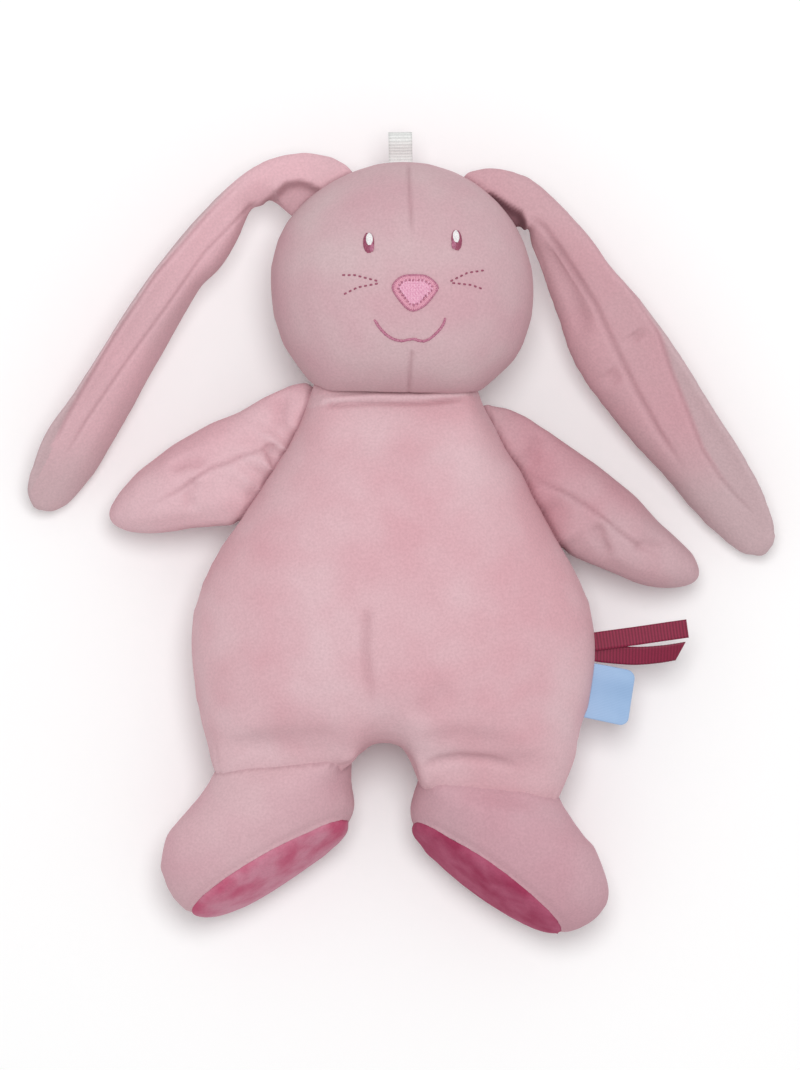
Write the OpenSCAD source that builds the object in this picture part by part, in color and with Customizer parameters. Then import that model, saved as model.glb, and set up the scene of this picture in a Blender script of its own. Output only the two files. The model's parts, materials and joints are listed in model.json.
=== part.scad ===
// Stuffed bunny lying on its back: sewn velour panels over fibre stuffing,
// embroidered face, flop ears, flat-sewn arms, feet with contrast soles.
// X runs across the toy, Y from feet to head, Z up from the back to the tummy.

/* [Fabric] */
// Thickness of the velour cloth
cloth_t = 1.4; // [0.8:0.1:2.5]
// Room between the cloth and the stuffing inside it
fill_gap = 0.8; // [0.4:0.1:1.5]
// Room between two sewn-together bodies along their seam
seam_gap = 0.5; // [0.3:0.1:1.5]
// Room along the neck and ankle seams, which bend as hinges
hinge_gap = 1; // [0.6:0.1:2]
// Depth by which the back is pressed flat where it lies
rest_flat = 0.5; // [0.3:0.1:2]

/* [Body] */
// Greatest width of the tummy
body_w = 158; // [140:1:180]
// Height of the tummy in front of the side seam
body_front = 39; // [30:1:48]
// Depth of the back behind the side seam
body_back = 36.5; // [30:0.5:44]
// Distance from the resting point to the neck seam
neck_rise = 75; // [68:1:85]
// Width of the neck seam
neck_w = 65; // [56:1:74]
// Length of the shoulder seam that takes an arm
shoulder_l = 59; // [50:1:64]
// Slope of the shoulder seam below level
shoulder_slope = 60; // [54:1:66]
// Distance from the resting point down to the widest place
belly_drop = 23; // [15:1:30]
// Distance from the resting point to the ankle seams
leg_drop = 70; // [64:1:80]
// Width of one leg at its ankle seam
ankle_w = 57; // [50:1:62]
// Width of the arch between the legs
arch_w = 25; // [18:1:32]
// Height of the arch between the legs
arch_h = 10.5; // [6:0.5:16]
// Turn of the whole toy as it lies
lie_turn = 3; // [0:0.5:8]

/* [Head] */
// Width of the head
head_w = 103; // [92:1:112]
// Distance from the head centre to the neck seam
chin_drop = 40; // [34:1:44]
// Height of the face in front of the head seam
head_front = 46; // [38:1:54]
// Depth of the head behind its seam
head_back = 40; // [34:1:46]
// Sideways place of the head on the neck
head_shift = -2.5; // [-5:0.5:5]

/* [Face] */
// Tilt of the face on the head
face_tilt = 5; // [-8:1:8]
// Sideways place of the face on the head
face_shift = 3.5; // [-5:0.5:5]
// Spacing of the eyes
eye_gap = 34.5; // [28:0.5:40]
// Height of the eyes above the head centre
eye_rise = 19; // [15:0.5:24]
// Width of an eye
eye_w = 4.4; // [3.5:0.1:7]
// Height of an eye
eye_h = 8; // [6.5:0.1:11]
// Width of the nose
nose_w = 17.4; // [13:0.2:22]
// Height of the nose
nose_h = 13.6; // [10:0.2:17]
// Width of the mouth
mouth_w = 27; // [20:0.5:32]
// Height of the smile from its corners to its lowest place
mouth_h = 8; // [5:0.5:11]
// Distance of the mouth corners below the head centre
mouth_drop = 12; // [10.5:0.5:15]
// Length of a whisker
whisker_l = 14; // [10:0.5:18]
// Thickness of the embroidery thread
thread_d = 1; // [0.7:0.1:1.4]
// Height of the satin stitch fill
satin_t = 0.9; // [0.6:0.1:1.5]

/* [Ears] */
// Length of an ear from the head seam over its bend to the tip
ear_l = 180; // [150:1:195]
// Greatest width of an ear laid flat
ear_w = 39; // [32:1:46]
// Greatest thickness of an ear
ear_t = 15; // [11:0.5:19]
// Height of the ear tip's middle above the table
ear_tip_z = 12; // [10:0.5:20]
// Place of the left ear round the head seam
ear_left_at = 134; // [126:1:142]
// Place of the right ear round the head seam
ear_right_at = 48.5; // [42:1:54]
// Bend radius of the left ear
ear_left_bend = 20; // [14:1:26]
// Bend radius of the right ear
ear_right_bend = 10.5; // [10:0.5:18]
// Turn of the left ear through its bend
ear_left_turn = 106; // [95:1:115]
// Turn of the right ear through its bend
ear_right_turn = 105; // [95:1:112]
// Roll of the left ear about its length
ear_left_roll = 57; // [30:1:70]
// Roll of the right ear about its length
ear_right_roll = 24; // [0:1:40]

/* [Arms] */
// Length of the left arm as it lies
arm_left_l = 72; // [64:1:84]
// Length of the right arm as it lies
arm_right_l = 78; // [64:1:84]
// Slope of the left arm below level
arm_left_drop = 21; // [18:1:32]
// Slope of the right arm below level
arm_right_drop = 29; // [18:1:32]
// Width of an arm at its middle
arm_w = 36; // [30:1:42]
// Thickness of an arm at its middle
arm_t = 32; // [24:1:36]
// Height of the arm tip's middle above the table
arm_tip_z = 18; // [17:1:26]

/* [Feet] */
// Length of a sole
sole_l = 73; // [62:1:82]
// Width of a sole
sole_w = 47; // [40:1:54]
// Puff of a sole beyond its seam
sole_puff = 4.5; // [2:0.5:8]
// Distance from the ankle seam to the middle of the sole
foot_l = 41; // [36:1:48]
// Height of the sole's middle above the table
sole_z = 28; // [27:1:34]
// Turn of the toes below level
toe_out = 33; // [26:1:40]
// Tilt of the sole up from the table
sole_tilt = 17; // [8:1:26]

/* [Trims] */
// Width of the hanging loop's ribbon
loop_w = 9.5; // [6:0.5:14]
// Length of the hanging loop
loop_l = 10.5; // [9:0.5:16]
// Thickness of the ribbons
ribbon_t = 0.7; // [0.5:0.1:1.2]
// Width of the side ribbon
ribbon_w = 7.4; // [5:0.2:10]
// Length of a side ribbon's tail
ribbon_l = 35; // [25:1:45]
// Width of the blank side label
label_w = 14.5; // [10:0.5:20]
// Height of the blank side label
label_h = 21.5; // [16:0.5:26]
// Corner radius of the side label
label_r = 3; // [1:0.5:5]
// Thickness of the side label
label_t = 0.9; // [0.6:0.1:1.5]

/* [Hidden] */

pink = "#d5a8af";
pale_pink = "#dbb2ba";
raspberry = "#a0465f";
rose = "#b7657f";
satin_pink = "#e2a5bc";
ribbon_red = "#86203d";
label_blue = "#95b3d8";
white = "#eaebe9";
fibre = "#f2efe8";

// Heights of the body seam and of the head seam above the table
body_seam_z = body_back - rest_flat;
head_seam_z = head_back - rest_flat;

// Inset of the stuffing behind the outside of the cloth
fill_inset = cloth_t + fill_gap;

// Shares of the way from the middle of a panel to its seam
skin_rings = [0.2, 0.45, 0.68, 0.85, 0.95, 1];
fill_rings = [0.25, 0.6, 0.85, 1];

// Least share of its size that a thin end keeps inside the cloth
thin_share = 0.35;

function flatten(rows) = [for (row = rows) each row];
function reversed(list) = [for (i = [len(list) - 1 : -1 : 0]) list[i]];
function mean(points) = [for (p = points) 1] * points / len(points);
function mix(a, b, t) = a + (b - a) * t;
function ease(t) = let (k = min(1, max(0, t))) k * k * (3 - 2 * k);
function along(angle) = [cos(angle), sin(angle)];
function raised(p, z) = [p[0], p[1], z];

// Swell of a stuffed panel, 1 in the middle and 0 at the seam
function swell(r) = sqrt(max(0, 1 - pow(r, 2.4)));

// A vector shortened by the thickness of what lies outside it
function thinned(v, t) = v * max(thin_share * cloth_t / max(t, cloth_t), 1 - t / norm(v));

// Triangles between rows of loops, each loop closed on itself
function wall_faces(rows, cols, last) = [
  for (i = [0 : last], j = [0 : cols - 1])
    let (a = i * cols + j, b = i * cols + (j + 1) % cols)
    let (c = (a + cols) % (rows * cols), d = (b + cols) % (rows * cols))
    each [[a, b, d], [a, d, c]]
];

// Triangles from the first and last loop to the points in their middles
function fan_faces(rows, cols) = [
  for (j = [0 : cols - 1])
    let (n = (j + 1) % cols, e = (rows - 1) * cols)
    each [[n, j, rows * cols], [e + j, e + n, rows * cols + 1]]
];

// Triangles across the first and last loop of a half tube's wall
function strip_faces(rows, cols) = [
  for (j = [0 : cols / 2 - 2])
    let (e = (rows - 1) * cols, k = cols - 1 - j)
    each [
      [j + 1, j, k], [j + 1, k, k - 1],
      [e + j, e + j + 1, e + k], [e + j + 1, e + k - 1, e + k]
    ]
];

// A closed solid whose triangles are turned to face outwards
module solid(points, faces) {
  parts = [for (f = faces) points[f[0]] * cross(points[f[1]], points[f[2]])];
  outward = parts * [for (p = parts) 1] < 0;
  polyhedron(points, outward ? faces : [for (f = faces) reversed(f)]);
}

// A solid of stacked loops, closed by a fan at both ends
module stacked(loops) {
  rows = len(loops);
  cols = len(loops[0]);
  points = concat(flatten(loops), [mean(loops[0]), mean(loops[rows - 1])]);
  solid(points, concat(wall_faces(rows, cols, rows - 2), fan_faces(rows, cols)));
}

// A half tube of cloth, its loops going out along one face and back along the other
module half_tube(loops) {
  rows = len(loops);
  cols = len(loops[0]);
  solid(flatten(loops), concat(wall_faces(rows, cols, rows - 2), strip_faces(rows, cols)));
}

// A solid whose last loop meets its first, as on a sleeve or a closed cord
module joined_round(loops) {
  rows = len(loops);
  cols = len(loops[0]);
  solid(flatten(loops), wall_faces(rows, cols, rows - 1));
}

// Mean distance of an outline from its middle
function mean_reach(edge, mid) =
  let (all = [for (p = edge) norm(p - mid)]) all * [for (r = all) 1] / len(all);

// One loop of a stuffed panel, at a share of the way out to its edge. Loops near the
// middle are drawn towards a round, as stuffing evens out the corners of the outline.
function pillow_loop(edge, mid, r, z, inset) =
  let (even = mean_reach(edge, mid))
  [
    for (p = edge)
      let (d = p - mid, k = r * pow(even / norm(d), 1 - r))
      raised(mid + d * k * (1 - inset / norm(d)), z)
  ];

// Cloth of one side of a stuffed form; rise is above the seam, or below it if negative
function panel_loops(edge, mid, seam_z, rise) =
  let (way = sign(rise), inner = rise - way * cloth_t)
  concat(
    [for (r = skin_rings) pillow_loop(edge, mid, r, max(0, seam_z + rise * swell(r)), 0)],
    [for (r = reversed(fill_rings))
      pillow_loop(edge, mid, r, max(cloth_t, seam_z + inner * swell(r)), cloth_t)]
  );

// Stuffing between the two sides of a form
function fill_loops(edge, mid, seam_z, front, back) = concat(
  [for (r = fill_rings)
    pillow_loop(edge, mid, r, seam_z + (front - fill_inset) * swell(r), fill_inset)],
  [for (i = [len(fill_rings) - 2 : -1 : 0])
    let (r = fill_rings[i], z = seam_z - (back - fill_inset) * swell(r))
    pillow_loop(edge, mid, r, max(fill_inset, z), fill_inset)]
);

// Rings of a limb are [middle, half width vector, half thickness vector]
function ring_arc(ring, a, b, steps) = [
  for (k = [0 : steps])
    let (t = mix(a, b, k / steps))
    ring[0] + ring[1] * cos(t) + ring[2] * sin(t)
];
function lining(ring, t) = [ring[0], thinned(ring[1], t), thinned(ring[2], t)];
half_sides = 5;
function half_loops(rings, from) = [
  for (ring = rings)
    concat(
      ring_arc(ring, from, from + 180, half_sides),
      ring_arc(lining(ring, cloth_t), from + 180, from, half_sides)
    )
];
function round_loop(ring, sides) = ring_arc(ring, 0, 360 - 360 / sides, sides - 1);

// Stuffing stops some rings short of a seam that is sewn flat
function past_seam(rings, first) = [for (i = [first : len(rings) - 1]) rings[i]];
function limb_fill(rings) = [
  for (ring = rings)
    ring_arc(lining(ring, fill_inset), -90, 270 - 180 / half_sides, 2 * half_sides - 1)
];

// Body outline, from the middle of the neck down the right side to the arch
belly_half = body_w / 2;
neck_corner = [neck_w / 2, neck_rise];
shoulder_end = neck_corner + shoulder_l * along(-shoulder_slope);
ankle_in = arch_w / 2;
ankle_out = ankle_in + ankle_w;
body_mid = [0, -belly_drop / 3];
function side_x(y) =
  let (upper = y > -belly_drop, end_x = upper ? shoulder_end[0] : ankle_out)
  let (span = upper ? shoulder_end[1] + belly_drop : leg_drop - belly_drop)
  belly_half - (belly_half - end_x) * pow((y + belly_drop) / span, 2);
body_side = concat(
  [for (k = [0 : 2]) [neck_corner[0] * k / 2, neck_rise]],
  [for (k = [1 : 4]) mix(neck_corner, shoulder_end, k / 4)],
  [for (k = [1 : 8]) let (y = mix(shoulder_end[1], -leg_drop, k / 8)) [side_x(y), y]],
  [for (k = [1 : 3]) [ankle_out - ankle_w * k / 3, -leg_drop]],
  [for (k = [1 : 3]) [ankle_in * cos(30 * k), arch_h * sin(30 * k) - leg_drop]]
);
body_edge = concat(
  body_side,
  [for (k = [len(body_side) - 2 : -1 : 1]) [-body_side[k][0], body_side[k][1]]]
);

// Head outline, a round cut straight along the neck seam
head_half = head_w / 2;
head_mid = [head_shift, neck_rise + hinge_gap + chin_drop];
chin_angle = asin(chin_drop / head_half);
chin_half = sqrt(pow(head_half, 2) - pow(chin_drop, 2));
head_edge = concat(
  [for (k = [0 : 23])
    head_mid + head_half * along(mix(-chin_angle, 180 + chin_angle, k / 23))],
  [for (k = [1 : 3]) head_mid + [mix(-chin_half, chin_half, k / 4), -chin_drop]]
);

// Everything is drawn upright and then turned as the toy lies
module lying() {
  rotate([0, 0, -lie_turn]) children();
}

module body_front_panel() {
  color(pink) lying() stacked(panel_loops(body_edge, body_mid, body_seam_z, body_front));
}

module body_back_panel() {
  color(pink) lying() stacked(panel_loops(body_edge, body_mid, body_seam_z, -body_back));
}

module body_stuffing() {
  color(fibre) lying()
    stacked(fill_loops(body_edge, body_mid, body_seam_z, body_front, body_back));
}

module head_face_panel() {
  color(pale_pink) lying() stacked(panel_loops(head_edge, head_mid, head_seam_z, head_front));
}

module head_back_panel() {
  color(pale_pink) lying() stacked(panel_loops(head_edge, head_mid, head_seam_z, -head_back));
}

module head_stuffing() {
  color(fibre) lying()
    stacked(fill_loops(head_edge, head_mid, head_seam_z, head_front, head_back));
}

// Ears run out from the head seam, over a bend and down in a straight fall.
// A side of 1 bends to the left and a side of -1 to the right.
ear_steps = [0, 0.03, 0.07, 0.11, 0.16, 0.23, 0.33, 0.45, 0.58, 0.7, 0.82, 0.91, 0.97, 1];
function ear_spread(t) = lookup(t, [
  [0, 0.62], [0.05, 0.5], [0.11, 0.44], [0.21, 0.56], [0.33, 0.75], [0.45, 0.9],
  [0.6, 1], [0.7, 0.98], [0.82, 0.87], [0.91, 0.72], [0.97, 0.46], [1, 0.06]
]);
function ear_plump(t) = lookup(t, [
  [0, 0.5], [0.1, 0.75], [0.3, 1], [0.8, 0.95], [0.91, 0.75], [0.97, 0.45], [1, 0.1]
]);
function ear_point(at, side, bend, turn, s) =
  let (base = head_mid + (head_half + seam_gap) * along(at))
  let (pivot = base + bend * along(at + 90 * side), reach = bend * turn * PI / 180)
  let (now = min(turn, s / bend * 180 / PI), heading = at + side * now)
  pivot + bend * along(heading - 90 * side) + max(0, s - reach) * along(heading);
function ear_ring(at, side, bend, turn, roll, t) =
  let (s = t * ear_l, heading = at + side * min(turn, s / bend * 180 / PI))
  let (inward = raised(along(heading + 90 * side), 0), lean = roll * ease(t / 0.3))
  let (middle = ear_point(at, side, bend, turn, s))
  [
    raised(middle, mix(head_seam_z, ear_tip_z, t)),
    (inward * cos(lean) - [0, 0, sin(lean)]) * ear_w / 2 * ear_spread(t),
    (inward * sin(lean) + [0, 0, cos(lean)]) * ear_t / 2 * ear_plump(t)
  ];
ear_left_rings = [
  for (t = ear_steps)
    ear_ring(ear_left_at, 1, ear_left_bend, ear_left_turn, ear_left_roll, t)
];
ear_right_rings = [
  for (t = ear_steps)
    ear_ring(ear_right_at, -1, ear_right_bend, ear_right_turn, ear_right_roll, t)
];

module ear_left_inner_panel() {
  color(pink) lying() half_tube(half_loops(ear_left_rings, -90));
}

module ear_left_outer_panel() {
  color(pale_pink) lying() half_tube(half_loops(ear_left_rings, 90));
}

module ear_left_wadding() {
  color(fibre) lying() stacked(limb_fill(ear_left_rings));
}

module ear_right_inner_panel() {
  color(pink) lying() half_tube(half_loops(ear_right_rings, -90));
}

module ear_right_outer_panel() {
  color(pale_pink) lying() half_tube(half_loops(ear_right_rings, 90));
}

module ear_right_wadding() {
  color(fibre) lying() stacked(limb_fill(ear_right_rings));
}

// Arms leave the shoulder seam as a thin wedge and swell to a rounded paw, between
// an upper and a lower edge. They are drawn on the right; the left one is mirrored.
arm_steps = [0, 0.12, 0.26, 0.42, 0.58, 0.74, 0.87, 0.95, 0.99];
root_short = 2;
shoulder_puff = 10;
paw_reach = 16;
paw_over = 0.6;
over_pull = 0.35;
under_pull = 0.19;
function curve_point(c, t) =
  c[0] * pow(1 - t, 3) + 3 * c[1] * t * pow(1 - t, 2)
  + 3 * c[2] * pow(t, 2) * (1 - t) + c[3] * pow(t, 3);
function arm_plump(t) = lookup(t, [
  [0, 0.03], [0.12, 0.32], [0.26, 0.7], [0.42, 0.96], [0.58, 1], [0.74, 0.84],
  [0.87, 0.6], [0.95, 0.36], [0.99, 0.06]
]);
function arm_ring(arm_l, drop, t) =
  let (ahead = along(-drop), up = along(90 - drop), gap = seam_gap * along(90 - shoulder_slope))
  let (top = mix(neck_corner, shoulder_end, root_short / shoulder_l) + gap)
  let (low = mix(shoulder_end, neck_corner, root_short / shoulder_l) + gap)
  let (tip = mix(neck_corner, shoulder_end, 0.5) + gap + arm_l * ahead)
  let (top_way = over_pull * arm_l * ahead + shoulder_puff * up)
  let (paw_top = tip - paw_reach * ahead + paw_over * arm_w * up)
  let (paw_low = tip - (1 - paw_over) * arm_w * up)
  let (over = curve_point([top, top + top_way, paw_top, tip], t))
  let (under = curve_point([low, low + under_pull * arm_l * ahead, paw_low, tip], t))
  [
    raised((over + under) / 2, mix(body_seam_z, arm_tip_z, t)),
    raised((over - under) / 2, 0),
    [0, 0, arm_t / 2 * arm_plump(t)]
  ];
arm_left_rings = [for (t = arm_steps) arm_ring(arm_left_l, arm_left_drop, t)];
arm_right_rings = [for (t = arm_steps) arm_ring(arm_right_l, arm_right_drop, t)];

module mirrored() {
  mirror([1, 0, 0]) children();
}

module arm_left_upper_panel() {
  color(pink) lying() mirrored() half_tube(half_loops(arm_left_rings, -90));
}

module arm_left_lower_panel() {
  color(pink) lying() mirrored() half_tube(half_loops(arm_left_rings, 90));
}

module arm_left_stuffing() {
  color(fibre) lying() mirrored() stacked(limb_fill(past_seam(arm_left_rings, 2)));
}

module arm_right_upper_panel() {
  color(pink) lying() half_tube(half_loops(arm_right_rings, -90));
}

module arm_right_lower_panel() {
  color(pink) lying() half_tube(half_loops(arm_right_rings, 90));
}

module arm_right_stuffing() {
  color(fibre) lying() stacked(limb_fill(past_seam(arm_right_rings, 2)));
}

// Feet fan out from the ankle seam to the sole, on the right side, mirrored for the left
toe_bulge = 12;
toe_height = 18;
instep_reach = 20;
instep_drop = 4;
ankle_ease = 1;
sole_out = 1.5;
toe_way = along(-toe_out);
sole_flat = along(-90 - toe_out);
sole_way = raised(sole_flat * cos(sole_tilt), sin(sole_tilt));
sole_up = raised(-sole_flat * sin(sole_tilt), cos(sole_tilt));
ankle_y = -leg_drop - hinge_gap;
sole_mid = [ankle_in + ankle_w / 2 + sole_out, -leg_drop - foot_l];
sole_toe = sole_mid + toe_way * sole_l / 2;
sole_heel = sole_mid - toe_way * sole_l / 2;
ankle_end = [ankle_out - ankle_ease, ankle_y];
toe_curve = [
  ankle_end,
  ankle_end + toe_way * instep_reach + sole_flat * instep_drop,
  sole_toe + toe_way * toe_bulge - sole_flat * toe_height,
  sole_toe
];
foot_steps = [0, 0.08, 0.22, 0.42, 0.64, 0.84, 1];
function foot_plump(t) = lookup(t, [
  [0, 0.06], [0.08, 0.45], [0.22, 0.78], [0.42, 0.98], [0.64, 1.06], [0.84, 1.06], [1, 1]
]);
function foot_ring(t) =
  let (toe = curve_point(toe_curve, t), heel = mix([ankle_in + ankle_ease, ankle_y], sole_heel, t))
  let (up = mix([0, 0, 1], sole_up, ease(t)))
  [
    raised((toe + heel) / 2, mix(body_seam_z, sole_z, t)),
    raised((toe - heel) / 2, 0),
    up * sole_w / 2 * foot_plump(t)
  ];
foot_rings = [for (t = foot_steps) foot_ring(t)];
sole_ring = foot_rings[len(foot_rings) - 1];
foot_sides = 18;
sole_rings = [0.4, 0.8, 1];
function sole_loop(r, lift, inset) =
  let (ring = lining(sole_ring, inset))
  let (puff = sole_way * (sole_puff * (1 - r * r) + lift))
  round_loop([ring[0] + puff, ring[1] * r, ring[2] * r], foot_sides);

module foot_upper() {
  outside = [for (ring = foot_rings) round_loop(ring, foot_sides)];
  inside = [for (ring = reversed(foot_rings)) round_loop(lining(ring, cloth_t), foot_sides)];
  joined_round(concat(outside, inside));
}

module foot_sole() {
  stacked(concat(
    [for (r = sole_rings) sole_loop(r, cloth_t, 0)],
    [for (r = reversed(sole_rings)) sole_loop(r, 0, 0)]
  ));
}

module foot_stuffing() {
  stacked(concat(
    [for (ring = past_seam(foot_rings, 1)) round_loop(lining(ring, fill_inset), foot_sides)],
    [for (r = [sole_rings[1], sole_rings[0]]) sole_loop(r, -fill_gap, fill_inset)]
  ));
}

module foot_left_upper() {
  color(pink) lying() mirrored() foot_upper();
}

module foot_left_sole() {
  color(raspberry) lying() mirrored() foot_sole();
}

module foot_left_stuffing() {
  color(fibre) lying() mirrored() foot_stuffing();
}

module foot_right_upper() {
  color(pink) lying() foot_upper();
}

module foot_right_sole() {
  color(raspberry) lying() foot_sole();
}

module foot_right_stuffing() {
  color(fibre) lying() foot_stuffing();
}

// Face stitches lie on the cloth of the face, at places given from its middle
stitch_lift = 0.35;
base_rings = [0.05, 0.5, 1];
skin_table = concat(
  [[0, swell(skin_rings[0])]],
  [for (r = skin_rings) [r, swell(r)]]
);
head_even = mean_reach(head_edge, head_mid);
function face_z(p) =
  let (d = p - head_mid, far = max(0.001, norm(d)))
  let (reach = d[1] < 0 ? min(head_half, -chin_drop * far / d[1]) : head_half)
  let (table = [for (e = skin_table) [e[0] * pow(head_even / reach, 1 - e[0]), e[1]]])
  head_seam_z + head_front * lookup(far / reach, table);
function on_face(q, lift) =
  let (x = q[0] + face_shift, c = cos(face_tilt), s = sin(face_tilt))
  let (p = head_mid + [x * c - q[1] * s, x * s + q[1] * c])
  raised(p, face_z(p) + lift);
function stitch_loop(mid, edge, share, lift) = [for (q = edge) on_face(mid + q * share, lift)];

// A raised patch of satin stitch whose underside follows the face
module satin(mid, edge, top_share, base_lift, top_lift) {
  stacked(concat(
    [for (r = base_rings) stitch_loop(mid, edge, r, base_lift)],
    [stitch_loop(mid, edge, 1, (base_lift + top_lift) / 2)],
    [stitch_loop(mid, edge, top_share, top_lift)]
  ));
}

// A cord of thread along points, as a loop of sides round each of them
thread_sides = 6;
function thread_loops(points, closed) = [
  for (i = [0 : len(points) - 1])
    let (n = len(points), a = closed ? (i + n - 1) % n : max(0, i - 1))
    let (b = closed ? (i + 1) % n : min(n - 1, i + 1), way = points[b] - points[a])
    let (side = cross(way, [0, 0, 1]) / norm(cross(way, [0, 0, 1])))
    let (up = cross(side, way) / norm(way))
    round_loop([points[i], side * thread_d / 2, up * thread_d / 2], thread_sides)
];
thread_lift = thread_d / 2 + stitch_lift;

eye_edge = [for (a = [0 : 36 : 324]) [eye_w / 2 * cos(a), eye_h / 2 * sin(a)]];
eye_top = 0.6;
glint_share = 0.5;
glint_top = 0.8;
glint_rise = 0.6;
glint_t = 0.35;
function eye_mid(side) = [side * eye_gap / 2, eye_rise];

module eye(side) {
  satin(eye_mid(side), eye_edge, eye_top, stitch_lift, satin_t);
}

module glint(side) {
  edge = eye_edge * glint_share;
  base = satin_t + stitch_lift;
  satin(eye_mid(side) + [0, glint_rise], edge, glint_top, base, base + glint_t);
}

module eye_left() {
  color(raspberry) lying() eye(-1);
}

module eye_right() {
  color(raspberry) lying() eye(1);
}

module eye_left_glint() {
  color(white) lying() glint(-1);
}

module eye_right_glint() {
  color(white) lying() glint(1);
}

// Nose, a triangle with round corners and its point down
nose_round = 3;
nose_drop = 1;
outline_gap = 0.1;
nose_mid = [0.5, -nose_drop];
nose_corners = [
  [nose_w / 2 - nose_round, nose_h / 2 - nose_round],
  [nose_round - nose_w / 2, nose_h / 2 - nose_round],
  [0, nose_round - nose_h / 2]
];
function nose_edge(grow) = [
  for (k = [0 : 2], a = [-30 : 30 : 90])
    nose_corners[k] + (nose_round + grow) * along(a + 120 * k)
];

nose_top = 0.7;
module nose_fill() {
  color(satin_pink) lying() satin(nose_mid, nose_edge(0), nose_top, stitch_lift, satin_t);
}

module nose_outline() {
  edge = nose_edge(thread_d / 2 + outline_gap);
  color(rose) lying()
    joined_round(thread_loops(stitch_loop(nose_mid, edge, 1, thread_lift), true));
}

// Mouth, a wide smile with turned-up corners
mouth_mid = -1;
module mouth_stitch() {
  points = [
    for (k = [-6 : 6])
      let (share = k / 6, deep = 1 - pow(abs(share), 2.6))
      on_face([mouth_mid + share * mouth_w / 2, -mouth_drop - mouth_h * deep], thread_lift)
  ];
  color(rose) lying() stacked(thread_loops(points, false));
}

// Whiskers, two rows of running stitches on each cheek
whisker_roots = [[nose_w / 2 + 5.5, 3.8], [nose_w / 2 + 5.5, 2]];
whisker_angles = [14, -12];
stitches = 5;
stitch_share = 0.7;
module whiskers(side) {
  pitch = whisker_l / stitches;
  for (row = [0, 1], k = [0 : stitches - 1]) {
    way = pitch * along(whisker_angles[row]);
    ends = [for (e = [0, stitch_share]) whisker_roots[row] + (k + e) * way];
    stacked(thread_loops([for (q = ends) on_face([side * q[0], q[1]], thread_lift)], false));
  }
}

module whiskers_left() {
  color(rose) lying() whiskers(-1);
}

module whiskers_right() {
  color(rose) lying() whiskers(1);
}

// Hanging loop, a folded ribbon sewn into the top of the head seam
loop_at = 94;
loop_half = 3.3;
loop_foot = ribbon_t / 2 + 0.1;
loop_bend_y = loop_l - loop_half - ribbon_t / 2;
loop_path = concat(
  [for (k = [0 : 4]) [loop_bend_y * k / 5, mix(loop_foot, loop_half, ease(k / 4))]],
  [for (a = [90 : -30 : -90]) [loop_bend_y, 0] + loop_half * along(a)],
  [for (k = [4 : -1 : 0]) [loop_bend_y * k / 5, -mix(loop_foot, loop_half, ease(k / 4))]]
);
function ribbon_loop(i) =
  let (a = loop_path[max(0, i - 1)], b = loop_path[min(len(loop_path) - 1, i + 1)])
  let (way = (b - a) / norm(b - a), off = [-way[1], way[0]] * ribbon_t / 2)
  let (out = loop_path[i] + off, in = loop_path[i] - off)
  [
    [-loop_w / 2, out[0], out[1]], [loop_w / 2, out[0], out[1]],
    [loop_w / 2, in[0], in[1]], [-loop_w / 2, in[0], in[1]]
  ];

module hang_loop() {
  seat = head_mid + (head_half + seam_gap) * along(loop_at);
  color(white) lying()
    translate(raised(seat, head_seam_z)) rotate([0, 0, loop_at - 90])
      stacked([for (i = [0 : len(loop_path) - 1]) ribbon_loop(i)]);
}

// Place on the right side seam of the body, facing straight out of it
module at_side(y) {
  slope = side_x(y + 0.5) - side_x(y - 0.5);
  lying() translate([side_x(y) + seam_gap, y, body_seam_z]) rotate([0, 0, -atan(slope)])
    children();
}

// Side ribbon, folded once, its two tails lying one over the other
ribbon_y = -18;
ribbon_fold = 2;
tail_angles = [14, -1];
module side_ribbon() {
  color(ribbon_red) at_side(ribbon_y) union() {
    translate([0, -ribbon_w / 2, -ribbon_t]) cube([ribbon_fold, ribbon_w, 2 * ribbon_t]);
    for (k = [0, 1])
      translate([ribbon_fold / 2, 0, -k * ribbon_t]) rotate([0, 0, tail_angles[k]])
        translate([0, -ribbon_w / 2, 0]) cube([ribbon_l, ribbon_w, ribbon_t]);
  }
}

// Blank side label, its outer corners rounded
label_y = -35.5;
module label_shape() {
  square([label_w - label_r, label_h]);
  translate([0, label_r]) square([label_w, label_h - 2 * label_r]);
  for (y = [label_r, label_h - label_r]) translate([label_w - label_r, y]) circle(label_r);
}

module side_label() {
  color(label_blue) at_side(label_y)
    translate([0, -label_h / 2, -label_t / 2]) linear_extrude(label_t) label_shape();
}

body_front_panel();
body_back_panel();
body_stuffing();
head_face_panel();
head_back_panel();
head_stuffing();
ear_left_inner_panel();
ear_left_outer_panel();
ear_left_wadding();
ear_right_inner_panel();
ear_right_outer_panel();
ear_right_wadding();
arm_left_upper_panel();
arm_left_lower_panel();
arm_left_stuffing();
arm_right_upper_panel();
arm_right_lower_panel();
arm_right_stuffing();
foot_left_upper();
foot_left_sole();
foot_left_stuffing();
foot_right_upper();
foot_right_sole();
foot_right_stuffing();
eye_left();
eye_right();
eye_left_glint();
eye_right_glint();
nose_fill();
nose_outline();
mouth_stitch();
whiskers_left();
whiskers_right();
hang_loop();
side_ribbon();
side_label();
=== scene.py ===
import json
import math

import bpy
import numpy as np
from mathutils import Matrix, Vector
from mathutils.bvhtree import BVHTree

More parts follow.
